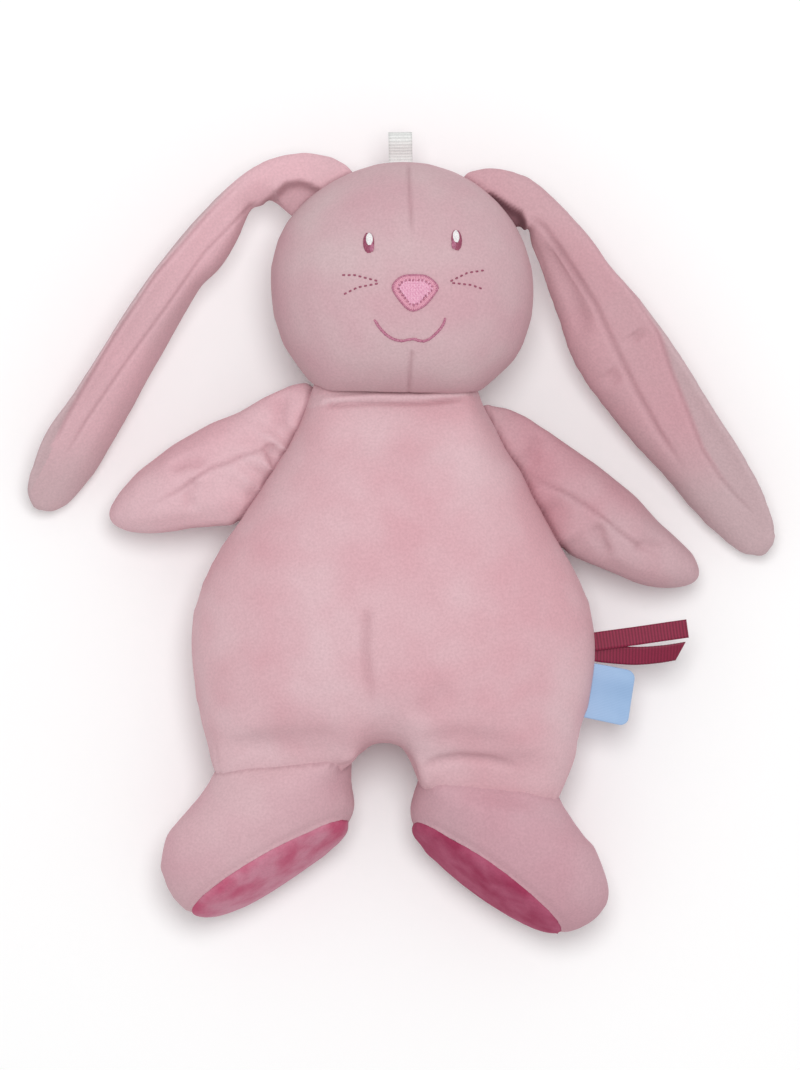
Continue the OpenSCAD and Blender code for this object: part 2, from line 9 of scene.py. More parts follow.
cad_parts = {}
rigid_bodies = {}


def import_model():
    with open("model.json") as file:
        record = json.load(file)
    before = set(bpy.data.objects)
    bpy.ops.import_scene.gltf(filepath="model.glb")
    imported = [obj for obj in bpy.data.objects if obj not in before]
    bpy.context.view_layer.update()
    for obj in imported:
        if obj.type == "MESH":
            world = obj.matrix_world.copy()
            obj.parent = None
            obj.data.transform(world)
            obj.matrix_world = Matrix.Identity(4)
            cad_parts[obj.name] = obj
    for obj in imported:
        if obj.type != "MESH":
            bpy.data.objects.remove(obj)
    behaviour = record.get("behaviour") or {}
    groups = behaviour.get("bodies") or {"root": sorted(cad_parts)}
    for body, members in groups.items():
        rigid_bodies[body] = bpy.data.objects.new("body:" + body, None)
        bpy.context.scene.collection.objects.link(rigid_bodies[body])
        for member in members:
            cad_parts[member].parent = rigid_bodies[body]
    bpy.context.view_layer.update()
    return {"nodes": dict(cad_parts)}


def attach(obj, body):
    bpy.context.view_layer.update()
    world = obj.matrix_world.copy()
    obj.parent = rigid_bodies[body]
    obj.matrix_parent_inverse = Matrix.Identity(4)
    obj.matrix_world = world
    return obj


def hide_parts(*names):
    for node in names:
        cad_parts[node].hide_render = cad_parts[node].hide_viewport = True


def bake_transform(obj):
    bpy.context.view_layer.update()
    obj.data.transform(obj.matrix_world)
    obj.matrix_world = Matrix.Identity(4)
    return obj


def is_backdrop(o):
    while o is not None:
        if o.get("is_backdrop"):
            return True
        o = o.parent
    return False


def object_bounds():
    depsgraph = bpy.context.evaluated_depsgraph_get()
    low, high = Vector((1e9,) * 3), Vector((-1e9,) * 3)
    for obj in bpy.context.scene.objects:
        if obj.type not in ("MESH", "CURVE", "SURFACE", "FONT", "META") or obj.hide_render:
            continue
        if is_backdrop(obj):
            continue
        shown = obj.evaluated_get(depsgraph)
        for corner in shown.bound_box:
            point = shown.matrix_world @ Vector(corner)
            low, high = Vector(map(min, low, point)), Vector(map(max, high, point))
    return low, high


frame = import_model()

# Body: a front and a back panel of pink velour, sewn together along the sides and turned
# right side out, then filled with loose polyester fibre until the tummy stands up round.
# The neck, shoulder and ankle edges are closed against the pieces sewn on there.
BODY_LIE = math.radians(-3)  # the whole toy lies turned a little
UP = np.array([-math.sin(BODY_LIE), math.cos(BODY_LIE), 0])  # from feet to head
ACROSS = np.array([math.cos(BODY_LIE), math.sin(BODY_LIE), 0])
NECK = 0.0755  # neck seam, measured along UP
ANKLE = -0.0705  # ankle seams
BODY_SEAM_Z = 0.036


def smooth_step(low, high, value):
    """A share that runs smoothly from 0 at low to 1 at high."""
    t = np.clip((value - low) / (high - low), 0, 1)
    return t * t * (3 - 2 * t)


def points_of(skin):
    """Places of all vertices, one row each, in metres."""
    co = np.empty(len(skin.data.vertices) * 3)
    skin.data.vertices.foreach_get("co", co)
    return co.reshape(-1, 3)


def normals_of(skin):
    """Ways that the cloth faces at all vertices."""
    no = np.empty(len(skin.data.vertices) * 3, np.float32)
    skin.data.vertex_normals.foreach_get("vector", no)
    return no.reshape(-1, 3).astype(float)


def move_points(skin, co):
    """Puts all vertices at new places."""
    skin.data.vertices.foreach_set("co", co.ravel())
    skin.data.update()


def bell(far, width):
    """A share that is 1 at no distance and dies away over a width."""
    return np.exp(-((far / width) ** 2))


def along_line(line, marks, run):
    """Places that lie a given run along a line, whose points have the given marks."""
    line = np.array(line)
    return np.stack([np.interp(run, marks, line[:, k]) for k in range(line.shape[1])], axis=-1)


def press(skin, depth):
    """Presses the cloth in, square to its face, by a depth given at each vertex."""
    move_points(skin, points_of(skin) - normals_of(skin) * depth[:, None])


def pick(piece):
    """Makes a piece the only one that is selected, and the active one."""
    bpy.ops.object.select_all(action="DESELECT")
    piece.select_set(True)
    bpy.context.view_layer.objects.active = piece


def edit(piece, operator, **settings):
    """Runs an operator on the whole mesh of a piece, in edit mode."""
    pick(piece)
    bpy.ops.object.mode_set(mode="EDIT")
    bpy.ops.mesh.select_all(action="SELECT")
    operator(**settings)
    bpy.ops.object.mode_set(mode="OBJECT")


def finish_with(skin, kind, **settings):
    """Adds a modifier with its settings and applies it."""
    bpy.context.view_layer.objects.active = skin
    modifier = skin.modifiers.new(kind.title(), kind)
    for key, value in settings.items():
        setattr(modifier, key, value)
    bpy.ops.object.modifier_apply(modifier=modifier.name)


def evened(skin, value, rounds):
    """Spreads a value given at each vertex over the neighbours."""
    ends = np.empty(len(skin.data.edges) * 2, np.int32)
    skin.data.edges.foreach_get("vertices", ends)
    a, b = ends.reshape(-1, 2).T
    count = np.bincount(ends)
    for _ in range(rounds):
        around = (np.bincount(a, value[b], len(count)) + np.bincount(b, value[a], len(count))) / count
        value = (value + around) / 2
    return value


def sewn_skin(name, voxel, rounds, *nodes):
    """One closed skin round the cloth panels and the filling of a piece."""
    bpy.ops.object.select_all(action="DESELECT")
    for node in nodes:
        copy = bpy.data.objects.new(name, frame["nodes"][node].data.copy())
        bpy.context.collection.objects.link(copy)
        copy.select_set(True)
        bpy.context.view_layer.objects.active = copy
    bpy.ops.object.join()
    skin = bpy.context.object
    skin.name = skin.data.name = name
    edit(skin, bpy.ops.mesh.remove_doubles, threshold=1e-5)
    skin.data.remesh_voxel_size = voxel
    bpy.ops.object.voxel_remesh()
    skin.data.materials.clear()
    outermost = int(np.argmax(points_of(skin)[:, 0]))
    bpy.ops.object.mode_set(mode="EDIT")
    bpy.ops.mesh.select_all(action="DESELECT")
    bpy.ops.object.mode_set(mode="OBJECT")
    skin.data.vertices[outermost].select = True
    bpy.ops.object.mode_set(mode="EDIT")
    bpy.ops.mesh.select_mode(type="VERT")
    bpy.ops.mesh.select_linked()
    bpy.ops.mesh.select_all(action="INVERT")
    bpy.ops.mesh.delete(type="VERT")  # pockets left between the cloth and the filling
    bpy.ops.object.mode_set(mode="OBJECT")
    # Smoothing takes the facets off and shrinks the skin, which is then let out again
    edged = points_of(skin)
    finish_with(skin, "SMOOTH", factor=0.5, iterations=rounds)
    lost = ((edged - points_of(skin)) * normals_of(skin)).sum(axis=1)
    press(skin, -evened(skin, lost, rounds))
    return skin


FILL_PRESSURE = 4  # how hard the fibre presses on the cloth
FILL_STEPS = 20  # steps of the simulation


def stuff(skin, held, most):
    """Blows the skin up like a filled bag, some of it held still, and limits how far it swells."""
    flat = points_of(skin)
    seam = skin.vertex_groups.new(name="seam")
    seam.add([int(i) for i in np.flatnonzero(held)], 1, "REPLACE")
    cloth = skin.modifiers.new("Cloth", "CLOTH")
    cloth.settings.vertex_group_mass = "seam"
    cloth.settings.use_pressure = True
    cloth.settings.uniform_pressure_force = FILL_PRESSURE
    cloth.settings.effector_weights.gravity = 0
    cloth.point_cache.frame_end = FILL_STEPS
    for step in range(1, FILL_STEPS + 1):
        bpy.context.scene.frame_set(step)
    bpy.context.view_layer.objects.active = skin
    bpy.ops.object.modifier_apply(modifier="Cloth")
    bpy.context.scene.frame_set(1)
    skin.vertex_groups.clear()
    swollen = points_of(skin)
    way = swollen - flat
    far = np.linalg.norm(way, axis=1, keepdims=True)
    way *= np.minimum(1, most / np.maximum(far, 1e-9))
    move_points(skin, flat + way)
    finish_with(skin, "SMOOTH", factor=0.5, iterations=4)


def drag(skin, *pulls):
    """Drags the cloth, as a hand would, near places seen from above: (place, move, reach)."""
    for at, move, reach in pulls:
        co = points_of(skin)
        far = np.hypot(co[:, 0] - at[0], co[:, 1] - at[1])
        share = 1 - smooth_step(0, reach, far)
        co[:, :2] += share[:, None] * np.array(move)
        move_points(skin, co)


def distance_to(path, co):
    """Distance of each vertex, seen from above, from a line of points, its share along the
    line, and the side on which it lies (1 is left of the way that the line runs)."""
    best = np.full(len(co), 9.0)
    along, side = np.zeros(len(co)), np.zeros(len(co))
    path = [np.array(p, float) for p in path]
    for k, (a, b) in enumerate(zip(path, path[1:])):
        off = co[:, :2] - a
        t = np.clip((off @ (b - a)) / ((b - a) @ (b - a)), 0, 1)
        far = np.linalg.norm(off - t[:, None] * (b - a), axis=1)
        nearer = far < best
        best[nearer] = far[nearer]
        along[nearer] = ((k + t) / (len(path) - 1))[nearer]
        side[nearer] = np.sign((b - a)[0] * off[:, 1] - (b - a)[1] * off[:, 0])[nearer]
    return best, along, side


def mark(skin, value, layer="fold_shade"):
    """Keeps on the cloth how much painted shade it gets in folds and seams, or, on the other layer, how
    far it turns to the greyer tone: pile brushed back, painted sheen and painted highlight.
    """
    kept = skin.data.attributes.get(layer) or skin.data.attributes.new(layer, "FLOAT", "POINT")
    old = np.empty(len(skin.data.vertices), np.float32)
    kept.data.foreach_get("value", old)
    kept.data.foreach_set("value", np.maximum(old, value).astype(np.float32))


def crease(skin, path, depth, width, dark=0.5, side=1, fade=0.3):
    """Presses a seam or crease line into the upper (side 1) or lower (side -1) face of a skin,
    and paints shade along it. It dies away over a share of its length at both ends."""
    far, along, _ = distance_to(path, points_of(skin))
    ends = smooth_step(0, fade, along) * smooth_step(0, fade, 1 - along)
    ends *= smooth_step(0.1, 0.4, normals_of(skin)[:, 2] * side)
    press(skin, depth * ends * bell(far, width))
    mark(skin, dark * ends * bell(far, 0.7 * width))


def pinch(skin, other, depth, width, dark):
    """Draws the cloth in along the seam where it is sewn to another piece, and paints shade along it."""
    tree = BVHTree.FromPolygons([v.co for v in other.data.vertices],
                                [f.vertices for f in other.data.polygons])
    co = points_of(skin)
    far = np.full(len(co), 9.0)
    for k, place in enumerate(co):
        found = tree.find_nearest(place, 3 * width)
        if found[0] is not None:
            far[k] = found[3]
    press(skin, depth * bell(far, width))
    mark(skin, dark * bell(far, 0.6 * width))


BODY_VOXEL, BODY_ROUNDS = 0.0036, 10  # how fine the skin is, and how often it is smoothed
BODY_SWELL = 0.004
SEAM_HELD = 0.0022  # cloth this near to a seam stays still while the piece is filled
body = sewn_skin("body", BODY_VOXEL, BODY_ROUNDS, "body_front_panel", "body_back_panel",
                 "body_stuffing")
stuff(body, abs(points_of(body)[:, 2] - BODY_SEAM_Z) < SEAM_HELD, BODY_SWELL)


LOOK = 0.0025  # a piece's width is measured over this much of its middle line, to either side
SIDE_REACH = 0.045  # what lies further from the middle line belongs to another piece
EVEN_OUT = [0.1, 0.2, 0.4, 0.2, 0.1]  # evens out the widths measured along the line


def fit_sides(skin, middle, left_edge, right_edge, part, let_out=0.0004):
    """Draws a piece in or out across a middle line until its edges, seen from above, lie on two
    given lines, left and right of the way that the middle line runs. The part of the middle
    line that counts is given for either side: where it fades in, is full, and fades out."""
    co = points_of(skin)
    middle = np.array(middle)
    far, along, lies = distance_to(middle, co)
    steps = np.arange(len(middle))
    on_line = along_line(middle, steps, along * steps[-1])
    about = LOOK / np.linalg.norm(np.diff(middle, axis=0), axis=1).sum()
    stations = np.linspace(0, 1, 41)
    for side, edge, (begin, full, fade, stop) in ((1, left_edge, part[0]), (-1, right_edge, part[1])):
        edge_far, edge_along, _ = distance_to(middle, np.array(edge))
        wanted = np.interp(stations, edge_along, edge_far) + let_out
        near = (lies == side) & (along > 0) & (along < 1) & (far < SIDE_REACH)
        reach = [far[near & (abs(along - s) < about)].max(initial=0.001) for s in stations]
        ratio = np.convolve(np.pad(wanted / reach, 2, "edge"), EVEN_OUT, "valid")
        fitted = smooth_step(begin, full, stations) * (1 - smooth_step(fade, stop, stations))
        grow = np.interp(along, stations, 1 + (ratio - 1) * fitted)
        here = (lies == side) & (far < SIDE_REACH)
        co[here, :2] = on_line[here] + (co[here, :2] - on_line[here]) * grow[here, None]
    move_points(skin, co)


# The ends run on under the head and into the feet, so the sewn-on pieces meet a full body
NECK_RUN, ANKLE_RUN = 0.012, 0.018
co = points_of(body)
high = co @ UP
co += np.outer(NECK_RUN * smooth_step(NECK - 0.022, NECK, high), UP)
co -= np.outer(ANKLE_RUN * (1 - smooth_step(ANKLE, ANKLE + 0.008, high)), UP)
move_points(body, co)

# Edges of the ankles seen from above, shared by each leg and its foot: inner and outer edge
LEFT_ANKLE_IN = [(-0.0168, -0.0702), (-0.0175, -0.0733)]
LEFT_ANKLE_OUT = [(-0.0714, -0.0643), (-0.0710, -0.0682), (-0.0710, -0.0710), (-0.0718, -0.0737)]
RIGHT_ANKLE_IN = [(0.0062, -0.0651), (0.0078, -0.0682), (0.0086, -0.0714), (0.0090, -0.0741),
                  (0.0086, -0.0768)]
RIGHT_ANKLE_OUT = [(0.0698, -0.0671), (0.0683, -0.0721), (0.0667, -0.0760), (0.0655, -0.0800)]
INNER_PART, OUTER_PART = (0.50, 0.62, 2, 3), (0, 0.3, 2, 3)  # fitted down to the leg's end
fit_sides(body,
          [(-0.0430, -0.0500), (-0.0433, -0.0600), (-0.0435, -0.0660), (-0.0440, -0.0720),
           (-0.0445, -0.0800)],
          [(-0.0156, -0.0663), *LEFT_ANKLE_IN, (-0.0175, -0.0800)],
          [(-0.0765, -0.0500), (-0.0745, -0.0546), (-0.0725, -0.0605), *LEFT_ANKLE_OUT,
           (-0.0720, -0.0800)],
          (INNER_PART, OUTER_PART))
fit_sides(body,
          [(0.0405, -0.0500), (0.0393, -0.0600), (0.0384, -0.0660), (0.0385, -0.0720),
           (0.0372, -0.0800)],
          [(0.0742, -0.0500), (0.0729, -0.0546), (0.0714, -0.0616), *RIGHT_ANKLE_OUT],
          [*RIGHT_ANKLE_IN, (0.0080, -0.0800)],
          (OUTER_PART, INNER_PART))

LEG_MIDDLE = 0.041  # of either leg, from the toy's middle
LEG_GAP = 0.004  # what lies further than this from the toy's middle belongs to a leg
ANKLE_SEAMS = {-1: (-0.0703, 0.12), 1: (-0.07499, -0.053)}  # height at the leg's middle, and slope
ANKLE_DRAW = 0.45  # how far cloth is drawn in where it goes into the piece sewn on


def above_ankle(co, mirror):
    """Height above the ankle seam (mirror is -1 for the left leg); both seams run aslant."""
    height, slope = ANKLE_SEAMS[mirror]
    return co @ UP - (height + slope * (co @ ACROSS - mirror * LEG_MIDDLE))


def draw_in(co, mirror, share):
    """Draws a leg or an ankle in towards its middle."""
    co += np.outer(-share * (co @ ACROSS - mirror * LEG_MIDDLE), ACROSS)
    co[:, 2] -= share * (co[:, 2] - BODY_SEAM_Z)


co = points_of(body)
for mirror in (-1, 1):  # below the seam the leg narrows and goes into the foot
    below = smooth_step(0, 0.016, -above_ankle(co, mirror)) * (mirror * (co @ ACROSS) > LEG_GAP)
    draw_in(co, mirror, ANKLE_DRAW * below)
move_points(body, co)
# Last, the sides, the right shoulder and the inner ends of the legs' hems are pulled straight
drag(body, ((0.0800, -0.0200), (0.0018, 0), 0.060), ((-0.0770, -0.0430), (0.0012, 0), 0.030),
     ((0.0390, 0.0790), (-0.0060, -0.0010), 0.020), ((0.0440, 0.0640), (-0.0025, -0.0005), 0.020),
     ((-0.0230, -0.0725), (0, 0.0045), 0.009), ((0.0150, -0.0800), (0, 0.0032), 0.008))
finish_with(body, "SUBSURF", levels=2, render_levels=2)

# Folds that the filling leaves: one long crease below the tummy, softer ones towards the
# # legs and above the feet, and the rolled cloth that the neck seam gathers. The creases are
# # darkened with painted shade, and the rolled cloth gets a painted highlight.
crease(body, [(-0.0100, -0.0050), (-0.0104, -0.0105), (-0.0112, -0.0229), (-0.0096, -0.0356),
              (-0.0073, -0.0514)], 0.0016, 0.0024, 0.2, fade=0.3)
crease(body, [(0.0074, -0.0516), (0.0145, -0.0440), (0.0232, -0.0357)], 0.0014, 0.0055, 0.03)
crease(body, [(0.0090, -0.0690), (0.0173, -0.0660), (0.0253, -0.0650), (0.0376, -0.0660),
              (0.0518, -0.0695)], 0.0016, 0.0018, 0.25, fade=0.25)
crease(body, [(0.0063, -0.0590), (0.0241, -0.0560), (0.0508, -0.0600)], 0.0010, 0.0040, 0.06)
crease(body, [(-0.0690, -0.0590), (-0.0400, -0.0570), (-0.0145, -0.0560)], 0.0012, 0.0045, 0.08)
NECK_FOLD = [(-0.0300, 0.0712), (-0.0240, 0.0720), (-0.0073, 0.0731), (0.0023, 0.0730),
             (0.0120, 0.0731), (0.0217, 0.0741), (0.0300, 0.0752)]
crease(body, [(x, y + 0.0019) for x, y in NECK_FOLD], -0.0012, 0.0014, 0, fade=0.1)
crease(body, NECK_FOLD, 0.0014, 0.0010, 0.4, fade=0.2)
# Painted highlight on the rolled cloth above the neck crease
far, _, above = distance_to(NECK_FOLD, points_of(body))
roll_highlight = smooth_step(0.0004, 0.0014, far) * (1 - smooth_step(0.003, 0.005, far))
mark(body, 0.9 * (above > 0) * roll_highlight, "stroke_and_sheen")


def linear(code):
    """An sRGB colour written as hex, in the linear light that the shader works in."""
    parts = [int(code[k : k + 2], 16) / 255 for k in (1, 3, 5)]
    return (*[c / 12.92 if c < 0.04045 else ((c + 0.055) / 1.055) ** 2.4 for c in parts], 1)


def add_node(material, kind, sockets=None, **settings):
    """Adds a node with its settings; a socket gets a value or a link from another node."""
    node = material.node_tree.nodes.new(kind)
    for key, value in settings.items():
        setattr(node, key, value)
    for key, value in (sockets or {}).items():
        if isinstance(value, bpy.types.NodeSocket):
            material.node_tree.links.new(value, node.inputs[key])
        else:
            node.inputs[key].default_value = value
    return node


def plain_cloth(name, roughness, gloss):
    """A new material, its shader, and the place on the piece that its patterns go by."""
    cloth = bpy.data.materials.new(name)
    cloth.use_nodes = True
    shader = cloth.node_tree.nodes["Principled BSDF"]
    shader.inputs["Roughness"].default_value = roughness
    shader.inputs["Specular IOR Level"].default_value = gloss
    return cloth, shader, add_node(cloth, "ShaderNodeTexCoord").outputs["Object"]


def cloudy(cloth, place, size, detail, roughness=0.5):
    """A pattern of clouds that are about a size across, in metres."""
    return add_node(cloth, "ShaderNodeTexNoise", {"Vector": place, "Scale": 1 / size, "Detail": detail,
                    "Roughness": roughness}).outputs["Fac"]


def spread(cloth, value, low, high, least=0, most=1):
    """Spreads what lies from low to high in a pattern over the range from least to most."""
    return add_node(cloth, "ShaderNodeMapRange", {"Value": value, "From Min": low, "From Max": high,
                    "To Min": least, "To Max": most}).outputs["Result"]


def mixed(cloth, share, first, second, blend="MIX"):
    """Two colours, mixed by a share of the second."""
    return add_node(cloth, "ShaderNodeMix", {0: share, 6: first, 7: second}, data_type="RGBA",
                    blend_type=blend).outputs[2]


def velour(name, pile, brushed, shade, patchy=1.0, patch_size=0.040):
    """Cut-pile polyester velour, knitted and sheared: matt, with a soft sheen at the edges.
    Pile brushed the other way looks greyer, in patches; marked places turn to that greyer tone
    too, among them painted sheen and highlight, and marked seams and folds get painted shade."""
    cloth, shader, place = plain_cloth(name, 0.95, 0.15)
    # Stroked patches are about 40 mm across on the body, and smaller on the soles
    patch = spread(cloth, cloudy(cloth, place, patch_size, 2.5, 0.55), 0.36, 0.66, 0, patchy)
    # The marked greyer tone: pile brushed back, and painted sheen and highlight
    back = add_node(cloth, "ShaderNodeAttribute", attribute_name="stroke_and_sheen").outputs["Fac"]
    stroke_and_sheen = add_node(cloth, "ShaderNodeMath", {0: patch, 1: back}, operation="ADD",
                      use_clamp=True).outputs["Value"]
    tone = mixed(cloth, stroke_and_sheen, linear(pile), linear(brushed))
    # Tufts are about 0.3 mm; drawn at 0.9 mm so that they show
    tuft = cloudy(cloth, place, 0.0009, 2)
    flecked = mixed(cloth, 1.0, tone, spread(cloth, tuft, 0.3, 0.7, 0.93, 1.05), "MULTIPLY")
    # Painted shade: marked seams, creases and tucked undersides turn towards the shade colour
    fold_shade = add_node(cloth, "ShaderNodeAttribute", attribute_name="fold_shade").outputs["Fac"]
    colour = mixed(cloth, fold_shade, flecked, linear(shade))
    bump = add_node(cloth, "ShaderNodeBump", {"Height": tuft, "Strength": 0.22, "Distance": 0.0004})
    shader.inputs["Sheen Weight"].default_value = 0.18
    shader.inputs["Sheen Roughness"].default_value = 0.45
    shader.inputs["Sheen Tint"].default_value = linear(brushed)
    cloth.node_tree.links.new(colour, shader.inputs["Base Color"])
    cloth.node_tree.links.new(bump.outputs["Normal"], shader.inputs["Normal"])
    return cloth


pink_velour = velour("pink velour", "#d3a4ac", "#d8b6bc", "#8f5f69")


def dress(skin, cloth, slot, body_name, fill, *nodes):
    """Smooth shading, cloth, and what the finished skin stands for and moves with."""
    pick(skin)
    bpy.ops.object.shade_smooth()
    skin.data.materials.append(cloth)
    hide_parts(*nodes)
    if body_name:
        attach(skin, body_name)


dress(body, pink_velour, "pink_velour", "torso", 0.7,
      "body_front_panel", "body_back_panel", "body_stuffing")

# Head: a rounder bag of the same velour, with a dart above the brow and another below the
# chin that shape the face; it is sewn to the body along the straight neck seam.
HEAD_SEAM_Z = 0.0395
HEAD_VOXEL, HEAD_ROUNDS, HEAD_SWELL = 0.0034, 12, 0.003
head = sewn_skin("head", HEAD_VOXEL, HEAD_ROUNDS, "head_face_panel", "head_back_panel",
                 "head_stuffing")
stuff(head, abs(points_of(head)[:, 2] - HEAD_SEAM_Z) < SEAM_HELD, HEAD_SWELL)
CHIN_H = 0.020  # height of the chin above the neck seam
CHIN_DROP, CHIN_SLOPE = 0.0014, 0.035  # the chin comes down to the seam, more on the left
CHIN_DRAW = 0.10  # and is drawn in towards the face's middle
FACE_MIDDLE = -0.0025
co = points_of(head)
aside = co @ ACROSS  # stays the same when cloth is moved along UP
chin = 1 - smooth_step(NECK, NECK + CHIN_H, co @ UP)
co -= np.outer((CHIN_DROP - CHIN_SLOPE * aside) * chin, UP)
co -= np.outer(CHIN_DRAW * chin * (aside - FACE_MIDDLE), ACROSS)
move_points(head, co)
finish_with(head, "SUBSURF", levels=2, render_levels=2)
drag(head, ((-0.046, 0.140), (-0.0018, 0.0010), 0.040))
# The darts and the neck seam are pressed in and darkened with painted shade
crease(head, [(0.0048, 0.1740), (0.0054, 0.1690), (0.0060, 0.1550), (0.0071, 0.1337)],
       0.0008, 0.0010, 0.3, fade=0.2)
crease(head, [(0.0072, 0.0930), (0.0062, 0.0850), (0.0056, 0.0720)], 0.0008, 0.0010, 0.3, fade=0.15)
pinch(head, body, 0.0010, 0.0016, 0.6)
head_velour = velour("pink velour, head", "#caa2aa", "#ccb0b4", "#8f5f69")
dress(head, head_velour, "pink_velour", None, 0.8,
      "head_face_panel", "head_back_panel", "head_stuffing")
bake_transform(head)

# Face: machine embroidery on the head's front panel. Eyes and nose are filled with satin
# stitch, the mouth and the nose's rim are stem stitch, the whiskers running stitch.
def thread(name, colour, deep):
    """Rayon embroidery thread: smooth filaments with a soft gloss along the stitch."""
    strand, shader, place = plain_cloth(name, 0.45, 0.4)
    # Each stitch catches the light differently; stitches are about 0.6 mm wide
    tone = spread(strand, cloudy(strand, place, 0.0006, 1), 0.35, 0.65)
    stitched = mixed(strand, tone, linear(deep), linear(colour))
    strand.node_tree.links.new(stitched, shader.inputs["Base Color"])
    return strand


def on_head(x, y):
    """Place and normal of the face's cloth below a point seen from above."""
    _, place, normal, _ = head.ray_cast(Vector((x, y, 0.2)), Vector((0, 0, -1)))
    return np.array(place), np.array(normal)


bpy.ops.object.select_all(action="DESELECT")
bpy.ops.mesh.primitive_uv_sphere_add(segments=8, ring_count=7, radius=0.5)
one_stitch = bpy.context.object
edit(one_stitch, bpy.ops.transform.rotate, value=math.pi / 2, orient_axis="Y", center_override=(0, 0, 0))
bpy.ops.object.shade_smooth()
stitch = points_of(one_stitch)
round_end = np.sqrt(np.maximum(1e-4, 1 - 4 * stitch[:, 0] ** 2))
full = (1 - (2 * stitch[:, 0]) ** 6) ** 0.5 / round_end  # straight sides, blunt ends
move_points(one_stitch, stitch * np.column_stack([np.ones(len(stitch)), full, full]))


def embroider(name, strand, slot, rows, *nodes):
    """Copies the stitch along rows of (x, y, heading, length, width, lift) and joins the copies."""
    bpy.ops.object.select_all(action="DESELECT")
    for x, y, heading, length, width, lift in rows:
        place, normal = on_head(x, y)
        way = np.array([math.cos(heading), math.sin(heading), 0])
        way -= normal * (way @ normal)
        way /= np.linalg.norm(way)
        copy = bpy.data.objects.new(name, one_stitch.data.copy())
        bpy.context.collection.objects.link(copy)
        lay = np.column_stack([way * length, np.cross(normal, way) * width, normal * width])
        copy.matrix_world = Matrix.Translation(place + normal * lift) @ Matrix(lay.tolist()).to_4x4()
        copy.select_set(True)
    bpy.context.view_layer.objects.active = copy
    bpy.ops.object.join()
    bpy.ops.object.transform_apply(location=True, rotation=True, scale=True)
    copy.name = copy.data.name = name
    copy.data.materials.append(strand)
    if nodes:
        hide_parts(*nodes)
    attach(copy, "head")


def rounded_line(points, steps):
    """A smooth line through given places."""
    points = np.array([points[0], *points, points[-1]], float)
    line = []
    for a, b, c, d in zip(points, points[1:], points[2:], points[3:]):
        for t in np.arange(steps) / steps:
            line.append(0.5 * (2 * b + (c - a) * t + (2 * a - 5 * b + 4 * c - d) * t**2
                               + (3 * b - a - 3 * c + d) * t**3))
    return line + [points[-1]]


def stem_row(points, pitch, length, width, lean, lift=0.0001):
    """Slanted, overlapping stitches along a line, as a rope of thread."""
    points = [np.array(p, float) for p in points]
    steps = [np.linalg.norm(b - a) for a, b in zip(points, points[1:])]
    marks = np.concatenate([[0], np.cumsum(steps)])
    rows = []
    for s in np.arange(pitch / 2, marks[-1], pitch):
        way = along_line(points, marks, s + 0.0006) - along_line(points, marks, s - 0.0006)
        heading = math.atan2(way[1], way[0])
        rows.append((*along_line(points, marks, s), heading + lean, length, width, lift))
    return rows


FACE_TILT = math.radians(2)
SATIN_PITCH = 0.00045  # from one satin stitch to the next
SATIN_W, SATIN_OVER = 0.0007, 0.0004  # width of a stitch, and how far it reaches over the edge


def satin_rows(middle, half, lift):
    """Side-by-side stitches across an oval of the given half sizes."""
    rows = []
    for v in np.arange(-half[1] + SATIN_PITCH / 2, half[1], SATIN_PITCH):
        reach = half[0] * math.sqrt(1 - (v / half[1]) ** 2)
        x, y = middle[0] - v * math.sin(FACE_TILT), middle[1] + v * math.cos(FACE_TILT)
        rows.append((x, y, FACE_TILT, 2 * reach + SATIN_OVER, SATIN_W, lift))
    return rows


bpy.context.view_layer.update()
raspberry_thread = thread("raspberry rayon thread", "#a3566f", "#8a4059")
rose_thread = thread("rose rayon thread", "#bd7a92", "#a35b77")
pink_thread = thread("pink rayon thread", "#e8b3c8", "#da9ab6")
blush_thread = thread("blush rayon thread", "#dda0b2", "#d08fa5")
white_thread = thread("white rayon thread", "#f6f4f3", "#dcd8da")
# Each eye is an upright oval, with a rose patch low on its inner side and a white glint on top
EYES = {"left": (np.array([-0.0097, 0.1337]), 1), "right": (np.array([0.0241, 0.1348]), -1)}
for side, (eye, inward) in EYES.items():
    blush, glint = eye + (inward * 0.0012, -0.0019), eye + (inward * 0.0004, 0.0012)
    embroider(f"eye_{side}_satin", raspberry_thread, "raspberry_thread",
              satin_rows(eye, (0.0021, 0.0039), 0.0001), "eye_" + side)
    embroider(f"eye_{side}_blush", rose_thread, "rose_thread",
              satin_rows(blush, (0.0008, 0.0016), 0.0004))
    embroider(f"eye_{side}_highlight", white_thread, "white_thread",
              satin_rows(glint, (0.0012, 0.0022), 0.0006), f"eye_{side}_glint")

# The nose is a rounded triangle, point down: a stem-stitched rim, a band of satin stitch,
# # and a fill of short upright stitches, ringed by small dark dashes.
NOSE = np.array([0.0081, 0.1157])
NOSE_EDGE = np.array([(0.0001, 0.0055), (-0.0043, 0.0051), (-0.0072, 0.0033), (-0.0086, 0.0009),
                      (-0.0078, -0.0015), (-0.0056, -0.0046), (-0.0032, -0.0072), (-0.0006, -0.0082),
                      (0.0023, -0.0071), (0.0047, -0.0053), (0.0076, -0.0015), (0.0087, 0.0009),
                      (0.0069, 0.0033), (0.0040, 0.0051)])


def nose_line(inside):
    """A closed line that runs a little inside the nose's edge."""
    edge = NOSE_EDGE * (1 - inside / np.linalg.norm(NOSE_EDGE, axis=1))[:, None]
    return rounded_line([*(NOSE + edge), NOSE + edge[0]], 6)


def within(at, line):
    """Whether a place lies inside a closed line that runs counter-clockwise."""
    return all(np.cross(b - a, at - a) > 0 for a, b in zip(line, line[1:]))


